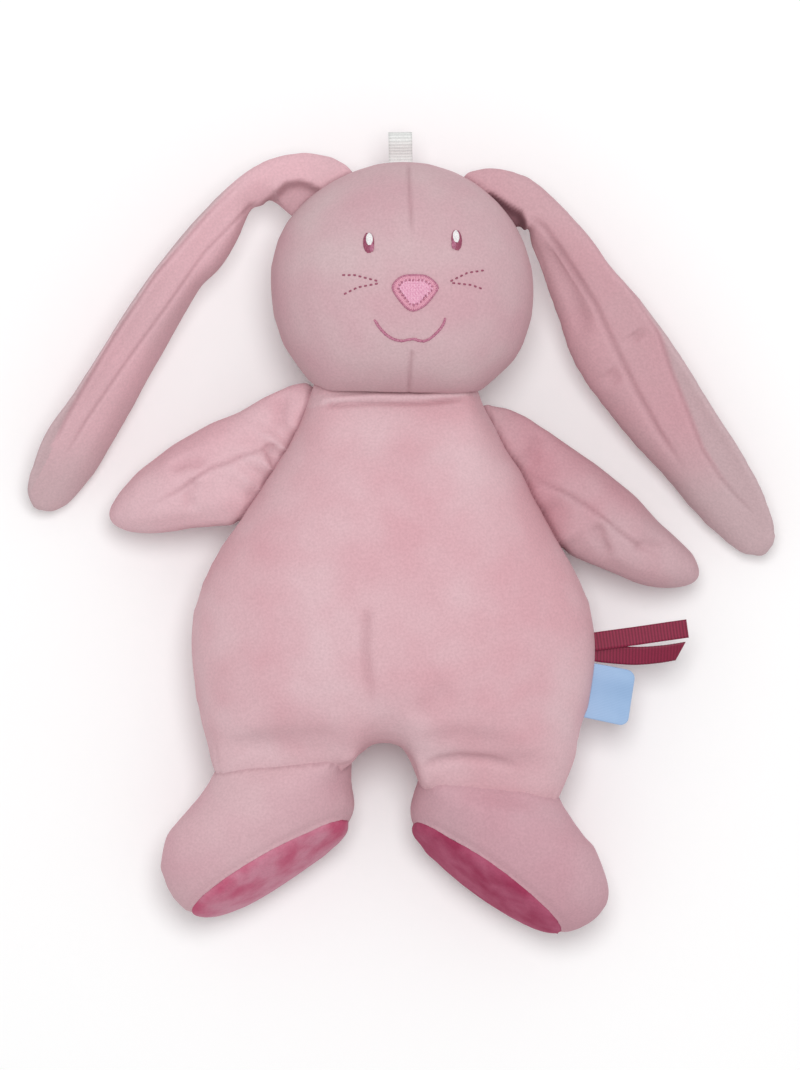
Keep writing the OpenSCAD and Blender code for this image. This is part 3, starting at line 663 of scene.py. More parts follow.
DASH_LINE = nose_line(0.0021)
FILL_COLUMN, FILL_ROW = 0.0006, 0.0017  # pitch of the fill's stitches across and along the nose
fill = []
for k, x in enumerate(np.arange(-0.0080, 0.0080, FILL_COLUMN)):
    for y in np.arange(-0.0080, 0.0060, FILL_ROW):
        at = NOSE + np.array([x, y + (FILL_ROW / 2 if k % 2 else 0)])
        if within(at, DASH_LINE):
            fill.append((*at, math.pi / 2 + FACE_TILT, 0.0021, 0.0008, 0.0004))
embroider("nose_satin", pink_thread, "pink_satin_thread", fill, "nose_fill")
embroider("nose_band", blush_thread, "pink_satin_thread",
          stem_row(nose_line(0.0012), 0.0006, 0.0026, 0.0008, math.pi / 2, 0.0002))
embroider("nose_rim", rose_thread, "rose_thread",
          stem_row(nose_line(0.0001), 0.0011, 0.0021, 0.0007, 0.2, 0.0003)
          + stem_row(DASH_LINE, 0.0015, 0.0010, 0.0006, 1.0, 0.0008), "nose_outline")
MOUTH = [(-0.0071, 0.1037), (-0.0062, 0.1020), (-0.0048, 0.1002), (-0.0029, 0.0983), (-0.0007, 0.0969),
         (0.0014, 0.0962), (0.0035, 0.0960), (0.0056, 0.0965), (0.0077, 0.0967), (0.0097, 0.0961),
         (0.0116, 0.0959), (0.0136, 0.0967), (0.0154, 0.0981), (0.0170, 0.0997), (0.0181, 0.1010),
         (0.0190, 0.1025), (0.0196, 0.1041)]
embroider("mouth_line", rose_thread, "rose_thread", stem_row(MOUTH, 0.0011, 0.0024, 0.0009, 0.22),
          "mouth_stitch")
WHISKERS = {
    "left": ([(-0.0203, 0.1213), (-0.0150, 0.1212), (-0.0067, 0.1190)],
             [(-0.0196, 0.1137), (-0.0139, 0.1165), (-0.0063, 0.1179)]),
    "right": ([(0.0350, 0.1233), (0.0283, 0.1222), (0.0214, 0.1187)],
              [(0.0342, 0.1160), (0.0298, 0.1175), (0.0214, 0.1183)]),
}
for side, lines in WHISKERS.items():
    dashes = [row for line in lines for row in stem_row(line, 0.0021, 0.0012, 0.0007, 0)]
    embroider(f"whisker_dashes_{side}", raspberry_thread, "rose_thread", dashes, "whiskers_" + side)
bpy.data.objects.remove(one_stitch)


# Ears: two long tongues, each of two velour panels with a seam down the middle of the face
# and thin wadding inside; folded at the root, caught in the head seam, and left to flop.
EAR_DEEP, EAR_SPREAD = 0.010, 0.35  # how far the root goes into the head, and how it widens


def run_into_head(ear, root, heading):
    """Draws the root of an ear on into the head seam and spreads it along the seam."""
    co = points_of(ear)
    way = np.array([math.cos(heading), math.sin(heading), 0])
    off = co - np.array(root)
    out, aside = off @ way, off @ np.cross([0, 0, 1], way)
    near = 1 - smooth_step(0.015, 0.021, abs(aside))
    share = (1 - smooth_step(0, 0.016, out)) * near
    co -= np.outer(EAR_DEEP * share, way)
    co += np.outer(EAR_SPREAD * share * aside, np.cross([0, 0, 1], way))
    move_points(ear, co)


EAR_VOXEL, EAR_ROUNDS = 0.0015, 24
EAR_SHRINK = 0.0005  # what the smoothing afterwards takes off the edges
EAR_TIP = 0.2  # length of the edge round the tip, as a share of the middle line
EAR_LOOK = 0.014  # share of the middle line over which an ear's width is measured
EAR_EVEN = [0.05, 0.1, 0.2, 0.3, 0.2, 0.1, 0.05]  # evens out the widths round the edge


def round_place(middle, co):
    """How far places lie from an ear's middle line, and where round it they lie: from 0 to 1
    down its left side, then round the tip, and 1 more back along its right side."""
    far, along, lies = distance_to(middle, co)
    way = middle[-1] - middle[-2]
    off = co[:, :2] - middle[-1]
    turn = np.arctan2(off @ np.array([-way[1], way[0]]), off @ way)
    tip = 1 + EAR_TIP * np.clip(0.5 - turn / math.pi, 0, 1)
    return far, along, np.where(along == 1, tip, np.where(lies > 0, along, 2 + EAR_TIP - along))


def fit_outline(ear, line, edge, free, flatten, lean, rounds=3):
    """Draws the ear in or out from its middle line until it fills an edge, given from the root
    down its left side, round the tip and back up. A share of the middle line at the root
    stays free on either side. Then the face is pressed flatter and leans to the right, and
    all of it is evened out and drawn to the edge again, a few times."""
    co = points_of(ear)
    middle = np.array(rounded_line(line, 6))
    far, along, place = round_place(middle, co)
    steps = np.arange(len(middle))
    on_line = along_line(middle, steps, along * steps[-1])
    edge_far, _, edge_place = round_place(middle, np.array(rounded_line(edge, 6)))
    order = np.argsort(edge_place)
    stations = np.linspace(0, 2 + EAR_TIP, 276)
    wanted = np.interp(stations, edge_place[order], edge_far[order]) + EAR_SHRINK
    reach = np.array([far[abs(place - s) < EAR_LOOK].max(initial=0.001) for s in stations])
    ratio = np.convolve(np.pad(wanted / reach, 3, "edge"), EAR_EVEN, "valid")
    fitted = smooth_step(free[0], free[0] + 0.1, stations)
    fitted *= smooth_step(free[1], free[1] + 0.1, stations[-1] - stations)
    grow = np.interp(place, stations, 1 + (ratio - 1) * fitted)
    co[:, :2] = on_line + (co[:, :2] - on_line) * grow[:, None]
    # The face is flat nearly to the edge: from an oval section to a squarer one
    out = far / np.interp(place, stations, reach)
    rim = (out > 0.9) & (along > 0.1)
    seam = np.polyval(np.polyfit(along[rim], co[rim, 2], 4), along)
    out = np.minimum(out, 0.93) ** 2
    free_part = smooth_step(0.25, 0.45, along)  # the root keeps its folded form
    flat = flatten * (((1 + out) / (1 - out)) ** 0.25 - 1) * free_part
    co[:, 2] += np.maximum(co[:, 2] - seam, 0) * flat
    side = np.cos(math.pi * np.clip((place - 1) / EAR_TIP, 0, 1)) * far  # above 0 on the left
    co[:, 2] += lean * side * free_part
    move_points(ear, co)
    if rounds:
        finish_with(ear, "SMOOTH", factor=0.5, iterations=6)
        fit_outline(ear, line, edge, free, 0, 0, rounds - 1)


def tuck(ear, fold_shade, side, depth, dark, rest, reach):
    """Turns the cloth under along a given line, on one side of it, and paints shadow there:
    darkest along the line, with a rest of that darkness further in."""
    co = points_of(ear)
    far, along, lies = distance_to(fold_shade, co)
    under = (lies == side) * (1 - smooth_step(0.6 * reach, reach, far))
    under *= smooth_step(0, 0.1, along) * smooth_step(0, 0.25, 1 - along)
    co[:, 2] -= depth * under * smooth_step(0, 0.004, far)
    move_points(ear, co)
    shade = rest + (1 - rest) * bell(far, 0.003)
    mark(ear, dark * under * smooth_step(0, 0.0018, far) * shade)


def show_back(ear, edge, side):
    """The back panel shows beyond the edge seam, which gets painted shade; beyond it the cloth is greyer,
    partly as its pile lies the other way and partly as a painted sheen where the edge rolls away.
    """
    crease(ear, edge, 0.0005, 0.0009, 0.14, fade=0.12)
    far, along, lies = distance_to(edge, points_of(ear))
    beyond = (lies == side) * smooth_step(0, 0.0025, far)
    mark(ear, 0.9 * beyond * smooth_step(0, 0.2, along), "stroke_and_sheen")


EAR_HELD = 0.022  # the root within this reach is held while the ear is filled
EAR_SWELL = 0.0025


def sewn_ear(side, root, heading, outline, pulls, swing=0):
    """One ear from its CAD panels: filled, drawn to its edge and swung out towards its tip."""
    name = "ear_" + side
    ear = sewn_skin(name, EAR_VOXEL, EAR_ROUNDS, name + "_inner_panel", name + "_outer_panel",
                    name + "_wadding")
    stuff(ear, np.linalg.norm(points_of(ear) - root, axis=1) < EAR_HELD, EAR_SWELL)
    run_into_head(ear, root, math.radians(heading))
    co = points_of(ear)
    co[:, 0] += swing * smooth_step(0.13, 0.02, co[:, 1])
    move_points(ear, co)
    fit_outline(ear, *outline)
    drag(ear, *pulls)
    finish_with(ear, "SUBSURF", levels=1, render_levels=1)
    return ear


def sew_to_head(ear, cloth):
    """Draws the root in along the head seam and gives the ear its cloth."""
    # The pinch darkens the root's seam with painted shade
    pinch(ear, head, 0.0006, 0.0014, 0.5)
    dress(ear, cloth, "pink_velour", None, 0.3,
          ear.name + "_inner_panel", ear.name + "_outer_panel", ear.name + "_wadding")
    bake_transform(ear)


LEFT_ROOT = (-0.0305, 0.1552, HEAD_SEAM_Z)
LEFT_EAR_MIDDLE = [
    (-0.0200, 0.1480), (-0.0300, 0.1552), (-0.0395, 0.1602), (-0.0470, 0.1607), (-0.0560, 0.1555),
    (-0.0625, 0.1492), (-0.0690, 0.1398), (-0.0805, 0.1248), (-0.0906, 0.1103), (-0.1010, 0.0933),
    (-0.1096, 0.0784), (-0.1190, 0.0624), (-0.1270, 0.0510), (-0.1340, 0.0405)]
LEFT_EAR_EDGE = [
    (-0.0413, 0.1457), (-0.0452, 0.1510), (-0.0482, 0.1518), (-0.0529, 0.1498), (-0.0564, 0.1480),
    (-0.0623, 0.1343), (-0.0699, 0.1235), (-0.0751, 0.1183), (-0.0812, 0.1080), (-0.0887, 0.0948),
    (-0.0962, 0.0821), (-0.1028, 0.0703), (-0.1115, 0.0560), (-0.1154, 0.0497), (-0.1193, 0.0442),
    (-0.1232, 0.0393), (-0.1272, 0.0352), (-0.1303, 0.0328), (-0.1330, 0.0315), (-0.1358, 0.0307),
    (-0.1381, 0.0309), (-0.1409, 0.0324), (-0.1429, 0.0348), (-0.1436, 0.0379), (-0.1432, 0.0411),
    (-0.1417, 0.0470), (-0.1389, 0.0544), (-0.1342, 0.0627), (-0.1222, 0.0788), (-0.1113, 0.0948),
    (-0.1000, 0.1126), (-0.0887, 0.1287), (-0.0746, 0.1465), (-0.0633, 0.1578), (-0.0530, 0.1653),
    (-0.0436, 0.1691), (-0.0342, 0.1705), (-0.0238, 0.1681), (-0.0183, 0.1646)]
ear_left = sewn_ear("left", LEFT_ROOT, 131, (LEFT_EAR_MIDDLE, LEFT_EAR_EDGE, (0.15, -0.1), 1.0, 0.25),
                    [((-0.1000, 0.0950), (-0.0011, 0.0008), 0.080)])
crease(ear_left, [(-0.0530, 0.1520), (-0.0567, 0.1489), (-0.0736, 0.1314), (-0.0868, 0.1127),
                  (-0.1037, 0.0896), (-0.1207, 0.0652), (-0.1300, 0.0500)],
       0.0004, 0.0009, 0.22, fade=0.15)
show_back(ear_left, [(-0.0577, 0.1606), (-0.0699, 0.1484), (-0.0924, 0.1220), (-0.1094, 0.0967),
                     (-0.1263, 0.0685), (-0.1329, 0.0563)], -1)
tuck(ear_left, [(-0.0255, 0.1535), (-0.0292, 0.1574), (-0.0323, 0.1592), (-0.0366, 0.1604),
                (-0.0426, 0.1595), (-0.0474, 0.1553), (-0.0525, 0.1515), (-0.0568, 0.1480)],
     1, 0.006, 0.55, 0.35, 0.018)
mark(ear_left, 0.7 * (1 - smooth_step(0.035, 0.065, points_of(ear_left)[:, 1])), "stroke_and_sheen")  # greyer towards the tip
# The left ear takes a lighter copy of the velour: painted light
sew_to_head(ear_left, velour("pink velour, left ear", "#dfb4bc", "#c6abaf", "#84545d", 0.3))

RIGHT_ROOT = (0.0400, 0.1531, HEAD_SEAM_Z)
RIGHT_EAR_MIDDLE = [
    (0.0330, 0.1475), (0.0395, 0.1519), (0.0455, 0.1545), (0.0500, 0.1530), (0.0545, 0.1495),
    (0.0593, 0.1430), (0.0652, 0.1330), (0.0715, 0.1225), (0.0803, 0.1086), (0.0895, 0.0928),
    (0.1005, 0.0770), (0.1120, 0.0613), (0.1232, 0.0455), (0.1325, 0.0325), (0.1395, 0.0230)]
RIGHT_EAR_EDGE = [
    (0.0296, 0.1628), (0.0374, 0.1644), (0.0452, 0.1636), (0.0530, 0.1597), (0.0608, 0.1537),
    (0.0686, 0.1461), (0.0763, 0.1371), (0.0827, 0.1280), (0.0957, 0.1133), (0.1068, 0.0978),
    (0.1170, 0.0826), (0.1271, 0.0663), (0.1340, 0.0560), (0.1397, 0.0466), (0.1436, 0.0395),
    (0.1463, 0.0332), (0.1483, 0.0269), (0.1491, 0.0222), (0.1489, 0.0191), (0.1475, 0.0160),
    (0.1452, 0.0140), (0.1424, 0.0132), (0.1393, 0.0138), (0.1358, 0.0156), (0.1318, 0.0181),
    (0.1279, 0.0214), (0.1237, 0.0251), (0.1197, 0.0295), (0.1156, 0.0339), (0.1112, 0.0394),
    (0.0961, 0.0557), (0.0860, 0.0679), (0.0763, 0.0805), (0.0692, 0.0927), (0.0646, 0.1051),
    (0.0585, 0.1228), (0.0542, 0.1358), (0.0529, 0.1405), (0.0486, 0.1401)]
EAR_SWING = 0.0075  # the right ear lies further out towards its tip than it was cut
ear_right = sewn_ear("right", RIGHT_ROOT, 45.5, (RIGHT_EAR_MIDDLE, RIGHT_EAR_EDGE, (-0.1, 0.33), 1.0, 0),
                     [((0.0505, 0.1370), (0.0005, 0.0050), 0.011),
                      ((0.0575, 0.1400), (-0.0045, 0.0005), 0.013)], EAR_SWING)
crease(ear_right, [(0.0520, 0.1470), (0.0591, 0.1404), (0.0662, 0.1293), (0.0784, 0.1110),
                   (0.0865, 0.0938), (0.0946, 0.0775), (0.1038, 0.0612), (0.1150, 0.0450)],
       0.0010, 0.0013, 0.22, fade=0.15)
crease(ear_right, [(0.0530, 0.1400), (0.0612, 0.1300), (0.0690, 0.1170), (0.0733, 0.1050),
                   (0.0733, 0.0930)], 0.0024, 0.0044, 0.14)
crease(ear_right, [(0.0830, 0.0860), (0.0880, 0.0800)], 0.0012, 0.0036, 0.08)
crease(ear_right, [(0.0925, 0.1005), (0.0955, 0.0965)], 0.0010, 0.0040, 0.10)
show_back(ear_right, [(0.0865, 0.1272), (0.0956, 0.1110), (0.1027, 0.0998), (0.1078, 0.0846),
                      (0.1139, 0.0704), (0.1199, 0.0552), (0.1271, 0.0440), (0.1352, 0.0349),
                      (0.1423, 0.0288)], 1)
tuck(ear_right, [(0.0358, 0.1567), (0.0408, 0.1535), (0.0464, 0.1500), (0.0503, 0.1479),
                 (0.0520, 0.1444), (0.0529, 0.1405), (0.0535, 0.1380)],
     -1, 0.006, 0.9, 0.85, 0.016)
mark(ear_right, 0.9 * (1 - smooth_step(0.028, 0.072, points_of(ear_right)[:, 1])), "stroke_and_sheen")
# The right ear takes a darker copy of the velour, with a darker shade colour: painted shade
sew_to_head(ear_right, velour("pink velour, right ear", "#cc9fa7", "#c6abaf", "#74454f", 0.3))

# Arms: flat-sewn paws of two velour panels, seamed along the middle and lightly stuffed; the
# root is gathered into the shoulder seam, which puckers the cloth.
ARM_VOXEL, ARM_ROUNDS = 0.002, 14
ARM_HELD, ARM_SWELL = 0.010, 0.003  # length of the root that is held while the arm is filled
ARM_RUN, ARM_THICKEN = 0.008, 0.9  # how far the root runs into the seam, and how it thickens
GATHER_REACH = 0.011  # the puckers fade over this distance from the seam


def sewn_arm(side, cloth, shoulder, pulls, gathers, seam, dents):
    """One arm from its CAD panels; the shoulder seam is given from the neck downwards."""
    name = "arm_" + side
    nodes = [f"{name}_upper_panel", f"{name}_lower_panel", f"{name}_stuffing"]
    arm = sewn_skin(name, ARM_VOXEL, ARM_ROUNDS, *nodes)
    top, low = (np.array(p) for p in shoulder)
    seam_way = (low - top) / np.linalg.norm(low - top)
    out = np.array([-seam_way[1], seam_way[0]]) * (1 if side == "right" else -1)
    co = points_of(arm)
    stuff(arm, (co[:, :2] - top) @ out < ARM_HELD, ARM_SWELL)
    co = points_of(arm)
    off = (co[:, :2] - top) @ out
    root = 1 - smooth_step(-0.002, 0.016, off)
    co[:, :2] -= np.outer(ARM_RUN * root, out)
    co[:, 2] = BODY_SEAM_Z + (co[:, 2] - BODY_SEAM_Z) * (1 + ARM_THICKEN * root)
    move_points(arm, co)
    drag(arm, *pulls)
    finish_with(arm, "SUBSURF", levels=1, render_levels=1)
    co = points_of(arm)
    off, down = (co[:, :2] - top) @ out, (co[:, :2] - top) @ seam_way
    puffs = np.interp(down, *gathers)  # between the gathers along the seam
    press(arm, -bell(np.maximum(off, 0), GATHER_REACH) * puffs)
    # Seams, dents and the shoulder seam are pressed in and darkened with painted shade
    crease(arm, seam, 0.0010, 0.0011, 0.3)
    crease(arm, seam, 0.0010, 0.0011, 0.3, -1)
    for line, depth, width, dark in dents:
        crease(arm, line, depth, width, dark)
    pinch(arm, body, 0.0012, 0.0018, 0.8)
    dress(arm, cloth, "pink_velour", None, 0.5, *nodes)
    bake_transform(arm)
    return arm


# The left arm takes a lighter copy of the velour and the right arm a darker one: painted light and shade
sewn_arm(
    "left", velour("pink velour, left arm", "#d9aeb6", "#dcbbc1", "#8f5f69"),
    [(-0.0276, 0.0773), (-0.0586, 0.0306)],
    [((-0.095, 0.039), (0, -0.0018), 0.045), ((-0.042, 0.078), (0, 0.0050), 0.024),
     ((-0.0340, 0.0790), (0.0086, 0.0058), 0.018), ((-0.1120, 0.0290), (0.0010, 0.0002), 0.020)],
    ([0, 0.006, 0.018, 0.0225, 0.027, 0.030, 0.036, 0.041, 0.045, 0.050, 0.056],
     [0, 0.0033, 0.0024, -0.0021, 0.0018, -0.0018, 0.0018, -0.0021, 0.0018, -0.0006, 0]),
    [(-0.0383, 0.0585), (-0.0448, 0.0570), (-0.0538, 0.0541), (-0.0639, 0.0499), (-0.0722, 0.0469),
     (-0.0781, 0.0428), (-0.0829, 0.0392), (-0.0895, 0.0356), (-0.1040, 0.0300)],
    [([(-0.0436, 0.0780), (-0.0442, 0.0700), (-0.0450, 0.0600)], 0.0020, 0.0026, 0.12),
     ([(-0.0500, 0.0570), (-0.0478, 0.0530), (-0.0450, 0.0465)], 0.0018, 0.0018, 0.25),
     ([(-0.0760, 0.0440), (-0.0800, 0.0370), (-0.0780, 0.0290)], 0.0018, 0.0024, 0.1),
     ([(-0.0890, 0.0470), (-0.0810, 0.0500), (-0.0710, 0.0497)], 0.0018, 0.0022, 0.12),
     ([(-0.0520, 0.0440), (-0.0573, 0.0330)], 0.0012, 0.0024, 0.1)],
)
# Darker copy of the velour for the right arm: painted shade
arm_right = sewn_arm(
    "right", velour("pink velour, right arm", "#c5949d", "#c8a6ac", "#86565f"),
    [(0.0356, 0.0699), (0.0659, 0.0168)],
    [((0.0960, 0.0220), (0.0010, -0.0050), 0.048), ((0.0420, 0.0700), (-0.0105, 0.0075), 0.024),
     ((0.0730, 0.0530), (-0.0008, -0.0012), 0.030), ((0.1165, 0.0050), (0.0022, 0.0006), 0.024),
     ((0.1150, 0.0120), (0.0014, 0.0008), 0.020)],
    ([0, 0.010, 0.020, 0.027, 0.032, 0.037, 0.042, 0.047, 0.052, 0.058, 0.062],
     [0, 0.0021, 0.0015, -0.0021, -0.0009, 0.0018, 0.0006, -0.0024, -0.0012, 0.0018, 0]),
    [(0.0467, 0.0477), (0.0537, 0.0448), (0.0595, 0.0413), (0.0665, 0.0378), (0.0735, 0.0337),
     (0.0810, 0.0285), (0.0880, 0.0227), (0.0945, 0.0180), (0.1003, 0.0145), (0.1110, 0.0080)],
    [([(0.0575, 0.0640), (0.0550, 0.0560), (0.0525, 0.0470)], 0.0018, 0.0026, 0.12),
     ([(0.0785, 0.0270), (0.0805, 0.0195), (0.0840, 0.0115)], 0.0018, 0.0024, 0.12),
     ([(0.0915, 0.0150), (0.0990, 0.0185), (0.1080, 0.0200)], 0.0014, 0.0022, 0.1)],
)
mark(arm_right, 0.8 * smooth_step(0.096, 0.116, points_of(arm_right)[:, 0]), "stroke_and_sheen")  # greyer towards the tip

# Feet: a pink velour upper, gathered at the ankle, closed by an oval raspberry sole that is
# sewn all round its rim and puffs out a little; stuffed firmly.
FOOT_VOXEL, FOOT_ROUNDS = 0.0022, 12
FOOT_HELD, FOOT_SWELL = 0.006, 0.002  # height of the ankle that is held while the foot is filled
TOE_OUT, SOLE_TILT = math.radians(33), math.radians(17)  # how the soles face
SOLE_ASIDE, SOLE_DOWN, SOLE_Z = 0.0425, 0.111, 0.028  # middle of a sole's seam
SOLE_GROOVE, SOLE_GROOVE_W = 0.0011, 0.0016  # the seam round the sole: depth and width
ANKLE_THICKEN = 0.6  # the root of a foot is made as thick as the leg


def ring(skin, mirror):
    """How wide a leg or an ankle is at the seam, by the angle round its middle."""
    co = points_of(skin)
    co = co[mirror * (co @ ACROSS) > LEG_GAP]
    aside, up = co @ ACROSS - mirror * LEG_MIDDLE, co[:, 2] - BODY_SEAM_Z
    turn, wide = np.arctan2(up, aside), np.hypot(aside, up)
    near = bell(above_ankle(co, mirror), 0.002) + 1e-9
    turns = np.radians(np.arange(-180, 181, 10))
    weights = [near * np.exp((np.cos(turn - t) - 1) / 0.010) for t in turns]
    return turns, np.array([(wide * w).sum() / w.sum() for w in weights])


def sewn_foot(side, cloth, sole_cloth, pulls, sides, late_pulls, ankle_seam_shade, lighter_below):
    """One foot from its CAD solids, cut along the seam plane into upper and sole."""
    name = "foot_" + side
    mirror = -1 if side == "left" else 1
    flat = ACROSS * mirror * -math.sin(TOE_OUT) - UP * math.cos(TOE_OUT)
    face = flat * math.cos(SOLE_TILT) + np.array([0, 0, math.sin(SOLE_TILT)])
    middle = ACROSS * mirror * SOLE_ASIDE - UP * SOLE_DOWN + np.array([0, 0, SOLE_Z])
    foot = sewn_skin(name + "_shell", FOOT_VOXEL, FOOT_ROUNDS, name + "_upper", name + "_sole",
                     name + "_stuffing")
    stuff(foot, points_of(foot) @ UP > ANKLE - FOOT_HELD, FOOT_SWELL)
    co = points_of(foot)
    root = smooth_step(ANKLE - 0.016, ANKLE, co @ UP)
    co += np.outer(ANKLE_RUN * root, UP)  # the ankle runs up inside the leg
    co[:, 2] = BODY_SEAM_Z + (co[:, 2] - BODY_SEAM_Z) * (1 + ANKLE_THICKEN * root)
    move_points(foot, co)
    drag(foot, *pulls)
    finish_with(foot, "SMOOTH", factor=0.5, iterations=6)
    fit_sides(foot, *sides)
    # At the seam the ankle is as wide as the leg all round, and above it goes inside
    turns, leg_wide = ring(body, mirror)
    _, foot_wide = ring(foot, mirror)
    co = points_of(foot)
    turn = np.arctan2(co[:, 2] - BODY_SEAM_Z, co @ ACROSS - mirror * LEG_MIDDLE)
    over = above_ankle(co, mirror)
    grow = np.interp(turn, turns, (leg_wide + 0.0003) / foot_wide) - 1
    draw_in(co, mirror, -grow * smooth_step(-0.008, -0.001, over))
    draw_in(co, mirror, ANKLE_DRAW * smooth_step(0, 0.012, over))
    move_points(foot, co)
    drag(foot, *late_pulls)
    finish_with(foot, "SUBSURF", levels=1, render_levels=1)
    press(foot, SOLE_GROOVE * bell((points_of(foot) - middle) @ face, SOLE_GROOVE_W))
    pick(foot)
    bpy.ops.object.duplicate()
    sole = bpy.context.object
    sole.name = sole.data.name = name + "_sole_pad"
    for piece, inner in ((foot, False), (sole, True)):
        edit(piece, bpy.ops.mesh.bisect, plane_co=middle, plane_no=face, use_fill=True,
             clear_outer=not inner, clear_inner=inner)
    # Painted shade along the ankle seam; the sole turns to its paler tone towards its lower edge
    pinch(foot, body, 0.0006, 0.0014, ankle_seam_shade)
    mark(sole, lighter_below * (1 - smooth_step(0.012, 0.036, points_of(sole)[:, 2])), "stroke_and_sheen")
    dress(foot, cloth, "pink_velour", None, 0.75, name + "_upper", name + "_stuffing")
    dress(sole, sole_cloth, "raspberry_velour", name, 0.6, name + "_sole")
    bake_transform(foot)


# The left foot and sole take lighter copies of the velours than the right ones: painted light and shade
sewn_foot(
    "left", velour("pink velour, left foot", "#cfa4ad", "#d2afb5", "#8b5b65"),
    velour("raspberry velour, left sole", "#bd5876", "#cc90a2", "#7d2a42", 0.8, 0.013),
    [((-0.0890, -0.1050), (-0.0018, 0), 0.025), ((-0.0600, -0.1250), (-0.0005, -0.0018), 0.030)],
    ([(-0.0440, -0.0640), (-0.0440, -0.1140)],
     [(-0.0150, -0.0640), *LEFT_ANKLE_IN, (-0.0175, -0.0760), (-0.0168, -0.0780), (-0.0160, -0.0800),
      (-0.0154, -0.0823), (-0.0158, -0.0858), (-0.0168, -0.0889), (-0.0189, -0.0936),
      (-0.0218, -0.0971), (-0.0259, -0.1026), (-0.0321, -0.1083), (-0.0402, -0.1138)],
     [*LEFT_ANKLE_OUT, (-0.0733, -0.0768), (-0.0757, -0.0800), (-0.0796, -0.0842), (-0.0835, -0.0889),
      (-0.0874, -0.0936), (-0.0889, -0.0971)],
     ((-1, 0, 0.7, 0.9), (-1, 0, 0.6, 0.68))),
    [((-0.0190, -0.0670), (0, 0.0040), 0.010), ((-0.0215, -0.0990), (0.0020, -0.0014), 0.014)],
    0.45, 1.0)
# Darker copies for the right foot and sole: painted shade
sewn_foot(
    "right", velour("pink velour, right foot", "#c79aa4", "#c9a4ac", "#86565f"),
    velour("raspberry velour, right sole", "#9c3a59", "#b4607b", "#6d2038", 0.8, 0.013),
    [((0.0790, -0.1180), (0.0068, -0.0026), 0.028)],
    ([(0.0385, -0.0650), (0.0385, -0.1160)],
     [*RIGHT_ANKLE_OUT, (0.0655, -0.0827), (0.0667, -0.0854), (0.0690, -0.0885), (0.0725, -0.0932),
      (0.0753, -0.0971)],
     [*RIGHT_ANKLE_IN, (0.0074, -0.0800), (0.0064, -0.0838), (0.0066, -0.0870), (0.0078, -0.0909),
      (0.0088, -0.0936), (0.0105, -0.0971), (0.0133, -0.1016), (0.0180, -0.1077), (0.0245, -0.1142)],
     ((-1, 0, 0.6, 0.68), (-1, 0, 0.62, 0.8))),
    [((0.0115, -0.0705), (0, 0.0040), 0.010), ((0.0108, -0.0960), (-0.0022, -0.0010), 0.013)],
    0.15, 0)

# Trims: woven polyester, cut to length and caught in the seams. A loop of white grosgrain
# stands in the top of the head seam, to hang the toy up by.
def grosgrain(name, colour, groove_shade):
    """Ribbon with a cord in every weft pick: matt ribs across it, with painted shade in the grooves
    between them.
    """
    ribbon, shader, place = plain_cloth(name, 0.55, 0.3)
    rib = add_node(ribbon, "ShaderNodeAttribute", attribute_name="rib").outputs["Fac"]
    ribbed = mixed(ribbon, rib, linear(groove_shade), linear(colour))
    # Warp threads lie about 0.2 mm apart; drawn at 0.5 mm so that they show
    warp = spread(ribbon, cloudy(ribbon, place, 0.0005, 1), 0.3, 0.7, 0.9, 1.06)
    flecked = mixed(ribbon, 1.0, ribbed, warp, "MULTIPLY")
    ribbon.node_tree.links.new(flecked, shader.inputs["Base Color"])
    return ribbon


RIBBON_T = 0.0006
RIB_PITCH = 0.00125  # ribs are about 0.8 mm apart; drawn a little coarser so that they show
RIB_HIGH = 0.00009


def strip(name, line, across, width, slant=0):
    """A length of ribbon along a line of places, its width along across at either end."""
    bpy.ops.object.select_all(action="DESELECT")
    bpy.ops.mesh.primitive_grid_add(x_subdivisions=8, y_subdivisions=180, size=1)
    piece = bpy.context.object
    piece.name = piece.data.name = name
    grid = points_of(piece)
    aside, share = grid[:, 0], grid[:, 1] + 0.5
    line = np.array(line)
    steps = np.linalg.norm(np.diff(line, axis=0), axis=1)
    room = 0.005  # the line runs on, so that a slanted end has cloth to be cut from
    line = np.vstack([line, line[-1] + (line[-1] - line[-2]) * room / steps[-1]])
    marks = np.concatenate([[0], np.cumsum(steps), [steps.sum() + room]])
    run = share * (steps.sum() + slant * aside)
    place = along_line(line, marks, run)
    way = along_line(line, marks, run + 0.0002) - along_line(line, marks, run - 0.0002)
    side = np.outer(1 - share, across[0]) + np.outer(share, across[1])
    side /= np.linalg.norm(side, axis=1, keepdims=True)
    face = np.cross(way, side)
    face /= np.linalg.norm(face, axis=1, keepdims=True)
    rib = 0.5 + 0.5 * np.cos(2 * math.pi * run / RIB_PITCH)
    move_points(piece, place + side * (width * aside)[:, None] + face * (RIB_HIGH * rib)[:, None])
    # The rib tops keep the ribbon's colour; between them it is darkened with painted shade
    mark(piece, 0.25 + 0.75 * rib, "rib")
    finish_with(piece, "SOLIDIFY", thickness=RIBBON_T, offset=0)
    bpy.ops.object.shade_smooth()
    return piece


